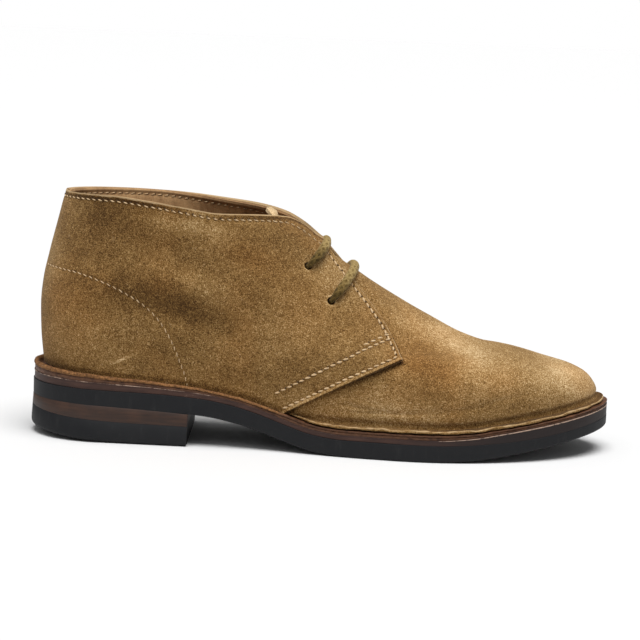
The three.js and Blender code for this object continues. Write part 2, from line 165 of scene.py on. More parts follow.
# The underside of the outsole, and how thick it and the layers on it are.
SOLE_SIDE = columns(
    "s under outsole midsole welt",
    (0, 19.8, 7.7, 4.2, 5.3), (20, 19.4, 7.8, 3.9, 4.4), (40, 18.7, 7.9, 3.6, 3.7), (70, 17.3, 8.5, 3, 3),
    (90, 15.8, 8.6, 2.6, 2.6), (106, 13, 8.6, 2.4, 2.6), (118, 9.8, 8.6, 2.4, 2.8),
    (132, 5.2, 8.6, 2.4, 3.2), (146, 1.4, 8.6, 2.4, 3.2), (160, 0, 8.6, 2.4, 3.2),
    (207, 0, 8.5, 2.5, 3.2), (225, 0.9, 8.2, 3.1, 2.9), (240, 2.9, 7.2, 4.4, 2.6),
    (257, 5.7, 6.2, 5.3, 2.5), (276, 9.3, 5.6, 5.5, 2.5), (298.5, 13.6, 5.4, 5.4, 2.4),
)
# How far the heel's back is worn up, how far forward, and how much of it the lift follows.
HEEL_WEAR = {"rise": 3.7, "reach": 58, "lift": 0.75}


def through(table, start, end):
    """A smooth curve through a table's rows that never overshoots them."""
    x, y = table[start], table[end]
    step = np.diff(x)
    secant = np.diff(y) / step
    slope = np.concatenate([secant[:1], np.zeros(len(x) - 2), secant[-1:]])
    before, after = secant[:-1], secant[1:]
    runs_on = before * after > 0
    slope[1:-1][runs_on] = (2 * before * after)[runs_on] / (before + after)[runs_on]

    def curve(at):
        at = np.clip(at, x[0], x[-1])
        i = np.clip(np.searchsorted(x, at, side="right") - 1, 0, len(x) - 2)
        t = (at - x[i]) / step[i]
        ends = y[i] * (1 + 2 * t) * (1 - t) ** 2 + y[i + 1] * t * t * (3 - 2 * t)
        return ends + step[i] * t * (1 - t) * (slope[i] * (1 - t) - slope[i + 1] * t)

    return curve


def mix(a, b, t):
    return a + (b - a) * t


def ease(at, low, high):
    """0 below low, 1 above high, and smooth between them."""
    t = np.clip((at - low) / (high - low), 0, 1)
    return t * t * (3 - 2 * t)


def rounded(t):
    """A quarter of a round end: 0 at its tip, 1 where it meets the full width."""
    t = np.clip(t, 0, 1)
    return np.sqrt(t * (2 - t))


plan_width = {side: through(SOLE_PLAN, "s", side) for side in SIDES}
under = through(SOLE_SIDE, "s", "under")
outsole_thickness = through(SOLE_SIDE, "s", "outsole")
midsole_thickness = through(SOLE_SIDE, "s", "midsole")
welt_thickness = through(SOLE_SIDE, "s", "welt")


def outsole_top(s):
    return under(s) + outsole_thickness(s)


def midsole_top(s):
    return outsole_top(s) + midsole_thickness(s)


def welt_top(s):
    return midsole_top(s) + welt_thickness(s)


def swing(s):
    return TOE_SWING * ease(s, 110, 300)


def sole_outline(angle):
    """Points of the outline. The angle runs from 0 at the heel to pi at the toe, negative on the
    lateral side."""
    s = SOLE_LENGTH * (1 - np.cos(angle)) / 2
    ends = rounded(s / HEEL_ROUND) * rounded((SOLE_LENGTH - s) / TOE_ROUND)
    width = np.where(angle < 0, plan_width["lateral"](s), plan_width["medial"](s))
    return np.stack([s, swing(s) + np.sign(angle) * width * ends], -1)


def sole_loop(inset, height, reach=SOLE_LENGTH, count=150):
    """The outline moved inwards, forward on the lateral side and back on the medial one. It ends
    at the toe, or square across at a nearer reach."""
    last = math.acos(1 - 2 * reach / SOLE_LENGTH)
    share = (np.arange(count) + 0.5) / (count if reach == SOLE_LENGTH else count - 0.5)
    angle = np.concatenate([-last * share, (last * share)[::-1]])
    step = 0.02
    along = sole_outline(angle + step) - sole_outline(angle - step)
    along /= np.linalg.norm(along, axis=1, keepdims=True)
    s, y = sole_outline(angle).T
    inset = inset(s) if callable(inset) else inset
    s = np.minimum(s + along[:, 1] * inset, reach)
    return np.stack([s, y - along[:, 0] * inset, height(s)], -1)


def mark(mesh, name, values):
    """Keeps a number on each point of a mesh, for its material to read."""
    layer = mesh.attributes.new(name, "FLOAT", "POINT")
    layer.data.foreach_set("value", np.ravel(values).astype(np.float32))


def build(name, points, faces, material, raw=None):
    """A mesh piece, turned inside out where its faces would point inwards. raw is a number on each point
    for its material: mostly how far it belongs to a cut edge, and on the midsole, lining and lace also
    painted highlight and shade."""
    points = points.reshape(-1, 3)
    faces = np.array(faces)
    a, b, c, d = (points[faces[:, k]] for k in range(4))
    volume = np.sum(a * np.cross(b, c)) + np.sum(a * np.cross(c, d))
    if volume < 0:
        faces = faces[:, ::-1]
    mesh = bpy.data.meshes.new(name)
    mesh.from_pydata(((points - (HEEL_CENTRE, 0, 0)) * MM).tolist(), [], faces.tolist())
    mesh.shade_smooth()
    mesh.set_sharp_from_angle(angle=math.radians(50))
    mark(mesh, "raw", np.zeros(len(points)) if raw is None else raw)
    mesh.materials.append(material)
    piece = bpy.data.objects.new(name, mesh)
    bpy.context.scene.collection.objects.link(piece)
    return piece


def band_faces(loops, count, closed_up=False, closed_across=True):
    """Quads over lines of equal length, laid in order."""
    k = np.arange(loops if closed_up else loops - 1)[:, None]
    j = np.arange(count if closed_across else count - 1)[None, :]
    up, across = (k + 1) % loops, (j + 1) % count
    corners = [k * count + j, k * count + across, up * count + across, up * count + j]
    return np.stack([corner.ravel() for corner in np.broadcast_arrays(*corners)], 1)


def block(name, loops, material, raw=None):
    """A solid skinned over closed loops, shut at both ends by strips across it."""
    count = len(loops[0])
    j = np.arange(count // 2 - 1)
    last = (len(loops) - 1) * count
    low = np.stack([count - 1 - j, count - 2 - j, j + 1, j], 1)
    high = np.stack([last + j, last + j + 1, last + count - 2 - j, last + count - 1 - j], 1)
    faces = np.concatenate([band_faces(len(loops), count), low, high])
    return build(name, np.array(loops), faces, material, raw)


class Wire:
    """An output socket in a node tree, on which sums add Math nodes."""

    def __init__(self, tree, socket):
        self.tree = tree
        self.socket = socket

    def node(self, kind, settings=None, sockets=None, output=0):
        """Any node: its settings come first, then the values or wires of its sockets."""
        made = self.tree.nodes.new(kind)
        for name, value in (settings or {}).items():
            setattr(made, name, value)
        for name, value in (sockets or {}).items():
            if isinstance(value, Wire):
                self.tree.links.new(value.socket, made.inputs[name])
            else:
                made.inputs[name].default_value = value
        return Wire(self.tree, made.outputs[output])

    def sum(self, operation, first, second, clamp=False):
        settings = {"operation": operation, "use_clamp": clamp}
        return self.node("ShaderNodeMath", settings, {0: first, 1: second})

    def __add__(self, other):
        return self.sum("ADD", self, other)

    def __radd__(self, other):
        return self.sum("ADD", other, self)

    def __sub__(self, other):
        return self.sum("SUBTRACT", self, other)

    def __rsub__(self, other):
        return self.sum("SUBTRACT", other, self)

    def __mul__(self, other):
        return self.sum("MULTIPLY", self, other)

    def __rmul__(self, other):
        return self.sum("MULTIPLY", other, self)

    def over(self, low, high):
        """0 where the value is at or under low, 1 at or over high."""
        return self.sum("MULTIPLY", self - low, 1 / (high - low), clamp=True)

    def scaled(self, factors):
        """A vector or colour times three factors."""
        return self.node("ShaderNodeVectorMath", {"operation": "MULTIPLY"}, {0: self, 1: factors})

    def noise(self, size, detail=2.0, roughness=0.5, stretch=(1, 1, 1)):
        """A cloud between 0 and 1 with features of about this size in millimetres."""
        place = self.scaled(stretch)
        sockets = {"Vector": place, "Scale": 1 / (size * MM), "Detail": detail, "Roughness": roughness}
        return self.node("ShaderNodeTexNoise", {}, sockets)

    def colour(self, first, second):
        """Runs from the first colour at 0 to the second at 1."""
        ends = [value if isinstance(value, Wire) else (*value, 1) for value in (first, second)]
        settings = {"data_type": "RGBA", "clamp_factor": True}
        return self.node("ShaderNodeMix", settings, {0: self, 6: ends[0], 7: ends[1]}, output=2)

    def ramp(self, stops):
        """A colour for each value, from stops of a place and a colour."""
        made = self.node("ShaderNodeValToRGB", {}, {0: self})
        elements = made.socket.node.color_ramp.elements
        for at, colour in stops[1:-1]:
            elements.new(at).color = (*colour, 1)
        for element, (at, colour) in ((elements[0], stops[0]), (elements[-1], stops[-1])):
            element.position = at
            element.color = (*colour, 1)
        return made

    def bump(self, height_mm):
        """A normal raised by this height where the value is 1."""
        sockets = {"Height": self, "Distance": height_mm * MM, "Strength": 1.0}
        return self.node("ShaderNodeBump", {}, sockets)

    def forward(self, start, end):
        """0 behind the first place along the boot and 1 ahead of the second, in metres."""
        return self.node("ShaderNodeSeparateXYZ", {}, {0: self}).over(start, end)

    def marked(self, name):
        """The number that each point keeps under a name."""
        return self.node("ShaderNodeAttribute", {"attribute_name": name}, {}, output=2)


def finish(name, paint, **constants):
    """A material. paint takes the place on the piece, and gives the wires of the shader."""
    material = bpy.data.materials.new(name)
    material.use_nodes = True
    tree = material.node_tree
    shader = tree.nodes["Principled BSDF"]
    place = Wire(tree, tree.nodes.new("ShaderNodeTexCoord").outputs["Object"])
    for socket, value in constants.items():
        shader.inputs[socket.replace("_", " ")].default_value = value
    for socket, wire in paint(place).items():
        tree.links.new(wire.socket, shader.inputs[socket])
    return material


def rubber_paint(place):
    haze = place.noise(14, 3)
    scuff = place.noise(3.5, 4, 0.7, (1, 1, 0.25)).over(0.55, 0.8)
    tone = (haze * 0.6 + scuff * 0.5).over(0.2, 0.9)
    grain = place.noise(0.5, 2)
    return {
        "Base Color": tone.colour((0.0085, 0.009, 0.0105), (0.02, 0.02, 0.0205)),
        "Roughness": 0.5 + haze * 0.2,
        "Normal": (grain + scuff * 0.6).bump(0.04),
    }


def heel_leather_paint(place):
    layers = place.noise(0.8, 3, 0.6, (0.06, 0.06, 1))
    stain = place.noise(9, 3)
    tone = layers * 0.45 + stain * 0.55
    brown = tone.over(0.34, 0.66).colour((0.02, 0.0095, 0.006), (0.055, 0.0245, 0.0135))
    return {"Base Color": brown, "Roughness": 0.45 + stain * 0.3, "Normal": layers.bump(0.05)}


rubber = finish("sole_rubber", rubber_paint, Specular_IOR_Level=0.22)
heel_leather = finish("heel_leather", heel_leather_paint, Specular_IOR_Level=0.4)


def worn(s):
    """How much the heel's back has worn and rolled off the floor."""
    return HEEL_WEAR["rise"] * (1 - np.clip(s / HEEL_WEAR["reach"], 0, 1)) ** 2


def heel_piece(name, low, high, rounding, material):
    """A lift between two heights. Its breast stands at the heel's length on the floor and rakes
    forward. rounding lists how far its lower edge is inset at which height."""
    stack = under(HEEL_LENGTH)

    def loop(height, inset):
        share = height(HEEL_LENGTH) / stack
        flare = HEEL_FLARE * (1 - share)
        return sole_loop(inset - flare, height, HEEL_LENGTH + BREAST_RAKE * share, 90)

    loops = [loop(lambda s, up=up: low(s) + up, inset) for inset, up in rounding]
    loops += [loop(lambda s: high(s) - 0.12, 0), loop(high, 0.1)]
    return block(name, loops, material)


def lift_bottom(s):
    wedge = LIFT_WEDGE * (1 - np.clip(s / HEEL_LENGTH, 0, 1))
    return TOP_PIECE + GAP + wedge + worn(s) * HEEL_WEAR["lift"]


top_piece = heel_piece(
    "heel_top_piece_rubber", worn, lambda s: lift_bottom(s) - 0.05,
    [(2.4, 0), (1.6, 0.15), (0.9, 0.5), (0.35, 1.1), (0.1, 1.8), (0, 2.6)], rubber,
)
heel_lift = heel_piece(
    "heel_lift_leather", lift_bottom, lambda s: under(s) - 0.05,
    [(0.1, 0), (0, 0.12)], heel_leather,
)
for piece, node, slot in (
    (top_piece, "heel_top_piece", "sole_rubber"),
    (heel_lift, "heel_lift", "heel_leather"),
):
    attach(piece, "root")
    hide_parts(node)

# ---- Outsole and midsole ----
# A slab of black rubber under a dark leather midsole with a light line along its top edge where the cut
# has worn, and a painted highlight along its lower edge at the waist. Both run from heel to toe, and are
# cemented to the welt.
EDGE_BEVEL = 1.3

rounding = [
    (EDGE_BEVEL * (1 - math.sin(turn)), EDGE_BEVEL * (1 - math.cos(turn)))
    for turn in np.linspace(0, math.pi / 2, 6)
]
outsole_loops = [
    sole_loop(lambda s, inset=inset: inset * mix(0.1, 1, ease(s, 76, 92)), lambda s, up=up: under(s) + up)
    for inset, up in rounding
]
outsole_loops += [sole_loop(0, lambda s: outsole_top(s) - 0.12), sole_loop(0.15, outsole_top)]
outsole = block("outsole_rubber", outsole_loops, rubber)


def midsole_paint(place):
    layers = place.noise(0.7, 3, 0.65, (0.05, 0.05, 1))
    stain = place.noise(12, 4, 0.6)
    raw = place.marked("raw")
    broken = place.noise(1.6, 4, 0.75, (0.4, 0.4, 1)) + raw - 1
    tone = (layers * 0.5 + stain * 0.5).over(0.3, 0.7)
    brown = tone.colour((0.028, 0.0135, 0.0105), (0.085, 0.042, 0.031))
    brown = place.forward(0.13, 0.2).colour(brown, (0.018, 0.012, 0.011))
    line = (broken * raw.over(0.2, 0.4)).over(0.4, 0.56)
    return {
        "Base Color": line.colour(brown, (0.42, 0.29, 0.215)),
        "Roughness": 0.42 + stain * 0.3,
        "Normal": (layers + stain).bump(0.06),
    }


midsole_leather = finish("midsole_leather", midsole_paint, Specular_IOR_Level=0.25)
midsole_profile = columns(
    "inset share raw",
    (1.0, 0, 0), (0.55, 0.03, 0), (0.45, 0.12, 0), (0.5, 0.5, 0), (0.5, 0.82, 0),
    (0.42, 0.885, 0), (0.3, 0.9, 1), (0.26, 0.95, 1), (0.35, 1, 1), (0.8, 1.02, 0),
)
midsole_loops = np.array([
    sole_loop(
        lambda s, inset=inset: inset * mix(1, 0.2, ease(s, 180, 205)),
        lambda s, share=share: mix(outsole_top(s) + 0.05, midsole_top(s) + 0.2, share),
    )
    for inset, share in zip(midsole_profile["inset"], midsole_profile["share"])
])
s = midsole_loops[..., 0]
line_shows = 0.3 + np.maximum(0.76 * ease(s, 190, 215), 0.66 * (1 - ease(s, 85, 130)))
midsole_edge_and_highlight = midsole_profile["raw"][:, None] * line_shows
# A painted highlight along the midsole's lower edge at the waist.
midsole_edge_and_highlight[1:4] = 0.8 * ease(s[1:4], 66, 78) * (1 - ease(s[1:4], 104, 118))
midsole = block("midsole_leather_layer", midsole_loops, midsole_leather, midsole_edge_and_highlight)
for piece, node, slot in (
    (outsole, "outsole", "sole_rubber"),
    (midsole, "midsole", "midsole_leather"),
):
    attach(piece, "root")
    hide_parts(node)

# ---- Welt and insole ----
# A strip of veg-tanned leather round the upper. Its top edge stands up as a raw orange-brown bead
# over a stained side. The insole fills it and is covered by a tan leather sock.
WELT_WIDTH = 9.4


def welt_paint(place):
    fibre = place.noise(1.0, 4, 0.75)
    stain = place.noise(7, 4, 0.6)
    streak = place.noise(1.5, 4, 0.75, (0.5, 0.5, 1))
    raw = (place.marked("raw") + fibre * 0.7 - 0.35).over(0.35, 0.7)
    side = (stain * 0.35 + streak * 0.65).over(0.36, 0.66)
    side = side.colour((0.035, 0.0135, 0.0065), (0.18, 0.08, 0.038))
    bead = (fibre * 0.75 + stain * 0.25).over(0.36, 0.66)
    bead = bead.colour((0.05, 0.018, 0.006), (0.42, 0.2, 0.07))
    return {
        "Base Color": raw.colour(side, bead),
        "Roughness": 0.5 + raw * 0.4,
        "Normal": (fibre * (0.5 + raw) + streak * 0.5).bump(0.55),
    }


welt_leather = finish("welt_leather", welt_paint, Specular_IOR_Level=0.3)
# From the inner edge's foot out, up the side, over the raw bead and down into the gutter.
welt_profile = columns(
    "inset share raw",
    (WELT_WIDTH, 0, 0), (0.95, 0, 0), (0.6, 0.03, 0), (0.5, 0.1, 0), (0.62, 0.24, 0), (0.5, 0.36, 0),
    (0.75, 0.46, 0), (0.8, 0.5, 0), (0.4, 0.56, 0.7), (0.1, 0.66, 1), (0.05, 0.78, 1), (0.3, 0.91, 1),
    (0.8, 1.0, 1), (1.5, 1.03, 1), (2.2, 0.96, 1), (2.7, 0.8, 0.7), (3.0, 0.6, 0.2), (3.4, 0.42, 0),
    (4.4, 0.34, 0), (WELT_WIDTH, 0.34, 0),
)


def welt_loop(inset, share):
    """One line along the welt. Ahead of the waist its top is flat, under the turned-out upper."""
    loop = sole_loop(inset, lambda s: s)
    s, y = loop[:, 0], loop[:, 1]
    front = ease(s, 122, 140)
    flat = min(share, 0.8) if inset < 2.5 or share == 0 else 0.86
    z = mix(midsole_top(s) + 0.2, welt_top(s), mix(share, flat, front))
    rough = 0.08 * np.sin(s / 1.7 + y / 2.9) + 0.08 * np.sin(s / 0.83 - y / 1.3 + 1.2)
    rough += 0.1 * np.sin(s / 4.1)
    loop[:, 2] = z + rough * (share > 0.4) * (1 - 0.6 * front)
    return loop


welt_rows = np.array([
    welt_loop(inset, share) for inset, share in zip(welt_profile["inset"], welt_profile["share"])
])
welt_raw = welt_profile["raw"][:, None] * (1 - 0.85 * ease(welt_rows[..., 0], 118, 138))
welt_faces = band_faces(len(welt_rows), welt_rows.shape[1], closed_up=True)
welt = build("welt_leather_strip", welt_rows, welt_faces, welt_leather, welt_raw)


def lining_paint(place):
    brushed = place.noise(2.4, 4, 0.65, (1, 1, 0.3))
    stain = place.noise(13, 3)
    pore = place.noise(0.7, 2)
    raw = place.marked("raw")
    tone = (brushed * 0.4 + stain * 0.35 + pore * 0.25).over(0.34, 0.68)
    # Painted light: the lining is lighter towards the heel.
    lit_at_heel = tone.colour((0.29, 0.145, 0.058), (0.76, 0.48, 0.23))
    at_front = tone.colour((0.18, 0.083, 0.03), (0.5, 0.3, 0.135))
    tan = place.forward(0.015, 0.05).colour(lit_at_heel, at_front)
    return {
        # The raw mark paints a dark band below the rim: the lining's darker leather and painted shade.
        "Base Color": raw.colour(tan, (0.085, 0.04, 0.017)),
        "Roughness": 0.7 + brushed * 0.25,
        "Normal": (pore * 0.5 + brushed).bump(0.12),
    }


lining_leather = finish("lining_leather", lining_paint, Specular_IOR_Level=0.3)
sock = WELT_WIDTH + 0.7
insole = block(
    "insole_sock",
    [
        sole_loop(sock, lambda s: midsole_top(s) + GAP),
        sole_loop(sock, lambda s: welt_top(s) - 0.3),
        sole_loop(sock + 0.4, lambda s: welt_top(s) + 0.1),
        sole_loop(sock + 1.2, lambda s: welt_top(s) + 0.25),
    ],
    lining_leather,
)
for piece, node, slot in ((welt, "welt", "welt_leather"), (insole, "insole", "lining_leather")):
    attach(piece, "root")
    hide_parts(node)

# ---- Vamp and tongue ----
# One piece of brushed suede from the toe back under the quarters and up into the tongue, pulled
# over the last. Its foot is turned out on the welt, with a raw wavy edge.
WALL = 1.6
# The turned-out foot, which is narrower round the toe.
FLANGE_THICKNESS = 1.3
FLANGE_WIDTH = 4.95
FLANGE_TOE_SET_IN = 1.3
# How far the wall's foot stands in from the sole's edge, and how it swells above that.
FEATHER_HEEL = 4
FEATHER_SIDE = 5.4
SWELL = 2.2
SWELL_HEIGHT = 46
COLLAR_ROUND = 47

# The boot's back and its crest from toe to throat, in the side view.
BACK_CURVE = columns(
    "z s",
    (10, 8.6), (34, 7), (54, 5.1), (67, 4.7), (79, 5.7), (92, 8.3), (105, 11.2), (117, 14.1),
    (125, 16.3), (140, 20.4),
)
CREST = columns(
    "z s",
    (10, 292.6), (27, 293), (32, 292.4), (35.5, 290.6), (39.5, 287), (43.4, 279.5), (46.8, 267),
    (49.6, 256), (51.5, 245), (53.2, 235.5), (57.4, 223.5), (66.3, 204.5), (73.4, 191), (87, 168),
    (94.1, 158.5), (102, 148.5), (108, 142), (113, 135), (118, 127.5), (122, 119), (128, 106),
)
# Half-width of the shaft at the ankle, and how long its front takes to round off.
SHAFT = columns(
    "z width front",
    (20, 31.5, 96), (40, 33, 104), (60, 34, 96), (76, 34.2, 84), (95, 31.4, 68), (117, 30.4, 56),
    (130, 31, 54),
)
TOPLINE = columns(
    "s lateral medial",
    (10, 124.4, 124.8), (24, 124.5, 124.8), (40, 124.6, 124.6), (60, 122.8, 124), (78, 120, 122.6),
    (94, 117.4, 120.8), (114, 116.6, 118.6), (127, 115.2, 115.8), (136, 111.2, 111.4), (143, 106, 106),
    (150, 101, 101),
)
# Front edge of a quarter: the seam across the vamp up to its corner, then the facing.
CORNER = (48.5, 189)
SEAM = columns("z s", (15, 123.5), (22.2, 136), (29.6, 149), (37.2, 163), (44.4, 178.5), CORNER)
FACING = columns(
    "z s",
    CORNER, (56, 185), (65, 179.5), (75.5, 171), (82.8, 164.5), (90.3, 158), (97.7, 151.5),
    (104, 146.5), (112, 140),
)
# How far back the vamp runs under the quarters, and above the throat the tongue's own edge.
VAMP_BACK = columns(
    "z s",
    (14, 108), (22, 122), (30, 136), (37, 149), (44, 163), (50, 172), (57, 173), (65, 168.5),
    (75.5, 160.5), (90, 148), (98, 141.2), (104, 136.6), (110, 130.5), (116, 124), (121.5, 118.6),
)
TONGUE_TOP = 121.5

back_curve = through(BACK_CURVE, "z", "s")
crest = through(CREST, "z", "s")
shaft_width = through(SHAFT, "z", "width")
front_round = through(SHAFT, "z", "front")
seam_line = through(SEAM, "z", "s")
facing_line = through(FACING, "z", "s")
vamp_back = through(VAMP_BACK, "z", "s")

# Folds and hollows of the worn-in suede. Each is a soft trough or ridge about a place in the side
# view, with its half-length and half-width, its turn in degrees and its height.
FOLDS = columns(
    "side s z length width turn height",
    (-1, 76, 66, 32, 5.5, -16, -1.2), (-1, 86, 80, 30, 8, -14, 0.9), (-1, 36, 112, 20, 11, 10, -1.0),
    (-1, 98, 100, 20, 14, 0, 0.8), (-1, 30, 52, 18, 16, 0, 0.5), (-1, 120, 80, 14, 20, 30, 0.4),
    (-1, 158, 28.5, 17, 0.75, -20, -0.5), (-1, 172, 24.8, 24, 0.7, -5, -0.5),
    (-1, 186, 23, 22, 0.7, 2, -0.45), (-1, 164, 31, 12, 0.9, -16, -0.3),
    (-1, 205, 25, 30, 1.4, 4, -0.4), (-1, 232, 29, 24, 1.6, 14, -0.4), (0, 243, 52, 12, 14, 0, 0.6),
    (0, 218, 60, 9, 9, -30, -0.35), (-1, 215, 44, 12, 5, 24, -0.35), (-1, 250, 40, 14, 6, -14, -0.3),
    (0, 152.2, 75.6, 4.5, 4.5, 0, -0.6), (0, 139.8, 92.2, 4.5, 4.5, 0, -0.6),
    (1, 76, 65, 34, 6, -14, -0.9), (1, 84, 78, 30, 8, -12, 0.7), (1, 36, 112, 20, 11, 10, -0.8),
    (1, 165, 26, 26, 1.0, -7, -0.45), (1, 205, 24, 30, 1.4, 4, -0.3), (1, 100, 96, 20, 14, 0, 0.6),
)
# The wall bulges over its turned-out foot and leaves a crease above it.
FOOT_CREASE = {"above": 1.7, "spread": 1.3, "depth": 0.9}


def wall_foot(s):
    return welt_top(s) + GAP


def turned_out(s):
    """How far the foot of the wall is turned out on the welt: not at all behind the waist."""
    return ease(s, 128, 150)


def wall_start(s):
    return wall_foot(s) + mix(GAP, FLANGE_THICKNESS, turned_out(s))


def half_width(side, s, z):
    foot = plan_width[side](s) - mix(FEATHER_HEEL, FEATHER_SIDE, ease(s, 60, 150))
    swell = SWELL * np.sin(np.pi * np.clip((z - wall_foot(s)) / SWELL_HEIGHT, 0, 1))
    wide = mix(foot + swell, shaft_width(z), ease(z, 35, 85))
    back = rounded((s - back_curve(z)) / mix(HEEL_ROUND, COLLAR_ROUND, ease(z, 60, 120)))
    return wide * back * rounded((crest(z) - s) / front_round(z))


def spots(table, points):
    """The sum of a table's soft spots at each point. Side 0 counts on both sides."""
    s, z = points[..., 0], points[..., 2]
    side = np.sign(points[..., 1] - swing(s))
    total = np.zeros(s.shape)
    for k in range(len(table["s"])):
        turn = math.radians(table["turn"][k])
        ahead, up = s - table["s"][k], z - table["z"][k]
        along = (ahead * math.cos(turn) + up * math.sin(turn)) / table["length"][k]
        across = (up * math.cos(turn) - ahead * math.sin(turn)) / table["width"][k]
        here = table["side"][k] * side >= 0
        total += here * table["height"][k] * np.exp(-(along**2) - across**2)
    return total


class Last:
    """The upper's outer face, laid out in levels from the sole (v = 0) up to a rim (v = 1). The
    angle runs from 0 at the back seam to pi at the crest, negative on the lateral side."""

    def __init__(self, rim):
        self.rim = rim

    def height(self, side, s, v):
        return mix(wall_start(s), self.rim[side](s), v)

    def meet(self, side, v, curve, low, high):
        """Where each level meets a curve that gives s by height, found by halving."""
        low, high = np.full(v.shape, float(low)), np.full(v.shape, float(high))
        for _ in range(34):
            middle = (low + high) / 2
            short = curve(self.height(side, middle, v)) > middle
            low, high = np.where(short, middle, low), np.where(short, high, middle)
        return (low + high) / 2

    def ends(self, side, v):
        """Where a level meets the back curve and the crest."""
        back = self.meet(side, v, back_curve, 0, 30)
        return back, self.meet(side, v, crest, 100, SOLE_LENGTH)

    def point(self, angle, v):
        v = np.asarray(v, float)
        angle = (angle + np.pi) % (2 * np.pi) - np.pi
        found = {}
        for side, sign in SIDES.items():
            back, front = self.ends(side, v)
            s = mix(back, front, (1 - np.cos(angle)) / 2)
            z = self.height(side, s, v)
            found[side] = np.stack([s, swing(s) + sign * half_width(side, s, z), z], -1)
        return np.where((angle < 0)[..., None], found["lateral"], found["medial"])

    def normal(self, angle, v):
        du, dv = 0.03, 0.008
        around = self.point(angle + du, v) - self.point(angle - du, v)
        up = self.point(angle, v + dv) - self.point(angle, np.maximum(v - dv, 0))
        across = np.cross(up, around)
        return across / np.linalg.norm(across, axis=-1, keepdims=True)

    def lifted(self, angle, v, lift):
        """The face with its folds, moved out by a lift."""
        angle, v, lift = np.broadcast_arrays(angle, v, lift)
        points = self.point(angle, v)
        s, z = points[..., 0], points[..., 2]
        above = (z - wall_start(s) - FOOT_CREASE["above"]) / FOOT_CREASE["spread"]
        crease = FOOT_CREASE["depth"] * np.exp(-(above**2)) * ease(s, 140, 160)
        return points + self.normal(angle, v) * (lift + spots(FOLDS, points) - crease)[..., None]

    def place(self, side, s, z):
        """The angle and level of a place in the side view."""
        s, z = np.asarray(s, float), np.asarray(z, float)
        v = (z - wall_start(s)) / (self.rim[side](s) - wall_start(s))
        back, front = self.ends(side, v)
        angle = np.arccos(1 - 2 * np.clip((s - back) / (front - back), 0, 1))
        return SIDES[side] * angle, v

    def angle_where(self, side, v, line):
        """The angle at which each level crosses a line given as s by height."""
        s = self.meet(side, v, line, 20, SOLE_LENGTH)
        back, front = self.ends(side, v)
        return np.arccos(1 - 2 * np.clip((s - back) / (front - back), 0, 1))


def nearest(points, line):
    """How far each point is from a line given by close samples."""
    parts = np.array_split(points.reshape(-1, 3), 40)
    gaps = [np.linalg.norm(part[:, None] - line[None], axis=2).min(1) for part in parts]
    return np.concatenate(gaps).reshape(points.shape[:-1])


def shell(name, outer, inner, material, raw, inner_raw=0.0):
    """A wall between two faces of the same layout, shut along its edges."""
    rows, count = outer.shape[:2]
    faces = band_faces(2 * rows, count, closed_up=True, closed_across=False)
    k = np.arange(rows - 1)
    for j in (0, count - 1):
        far = (2 * rows - 1 - k) * count + j
        ends = np.stack([k * count + j, (k + 1) * count + j, far - count, far], 1)
        faces = np.concatenate([faces, ends if j else ends[:, ::-1]])
    raw = np.concatenate([raw, np.broadcast_to(inner_raw, raw.shape)[::-1]])
    return build(name, np.concatenate([outer, inner[::-1]]), faces, material, raw)


instep = Last({side: lambda s: np.full(np.shape(s), TONGUE_TOP) for side in SIDES})

vamp_heights = np.concatenate([np.arange(0, 42, 0.42), np.linspace(42, 100, 60)]) / 100
VAMP_COLUMNS = 251
# How far the tongue lies under the facings and at its top.
TONGUE_DROP = {"throat": 2.0, "top": 5.2}


def vamp_grid():
    """Angles of a grid that runs from the lateral back edge round the toe to the medial one."""
    v = vamp_heights[:, None]
    turn = np.linspace(-1, 1, VAMP_COLUMNS)[None, :]
    start = {side: instep.angle_where(side, v, vamp_back) for side in SIDES}
    lateral = -np.pi + (np.pi - start["lateral"]) * np.abs(turn)
    medial = np.pi - (np.pi - start["medial"]) * np.abs(turn)
    return np.where(turn < 0, lateral, medial)


angles = vamp_grid()
levels = np.broadcast_to(vamp_heights[:, None], angles.shape)
flat_face = instep.point(angles, levels)
behind_facing = facing_line(flat_face[..., 2]) - flat_face[..., 0]
under_facing = ease(flat_face[..., 2], 60, 78) * ease(behind_facing, -7, 0)
near_top = ease(flat_face[..., 2], 103, 111) * ease(flat_face[..., 0], 123, 127)
drop = mix(TONGUE_DROP["throat"] * under_facing, TONGUE_DROP["top"], near_top)
vamp_outer = instep.lifted(angles, levels, -drop)
vamp_inner = instep.lifted(angles, levels, -drop - WALL)

foot = vamp_outer[:1]
outward = instep.normal(angles[:1], levels[:1]) * (1, 1, 0)
outward /= np.linalg.norm(outward, axis=-1, keepdims=True)
s = foot[..., 0]
edge_wave = 0.34 * np.sin(s / 2.1) + 0.24 * np.sin(s / 1.05 + 2) + 0.24 * np.sin(s / 4.9 + 1)
flange_width = FLANGE_WIDTH + edge_wave - FLANGE_TOE_SET_IN * ease(s, 262, 286)
flange_width = mix(GAP / 2, flange_width, turned_out(s))
flange_profile = columns(
    "out up raw",
    (0, 0, 0), (0.6, 0, 0), (0.93, 0, 0), (0.985, 0.15, 0), (1.0, 0.45, 0.3), (0.995, 0.75, 0.9),
    (0.97, 0.95, 1), (0.92, 1.08, 0.6), (0.84, 1.12, 0), (0.7, 1.08, 0), (0.5, 1.0, 0), (0.3, 0.98, 0),
    (0.14, 1.03, 0),
)
lip_wave = 0.26 * (np.sin(s / 3.1 + 0.5) + np.sin(s / 1.3) * np.sin(s / 7 + 1)) * turned_out(s)
flange_rows = []
for out_share, up_share in zip(flange_profile["out"], flange_profile["up"]):
    row = foot + outward * (flange_width * out_share)[..., None]
    curl = lip_wave * out_share**2 * (up_share > 0.5)
    row[..., 2] = mix(wall_foot(row[..., 0]), wall_start(row[..., 0]), up_share) + curl
    flange_rows.append(row)
inner_foot = vamp_inner[:1].copy()
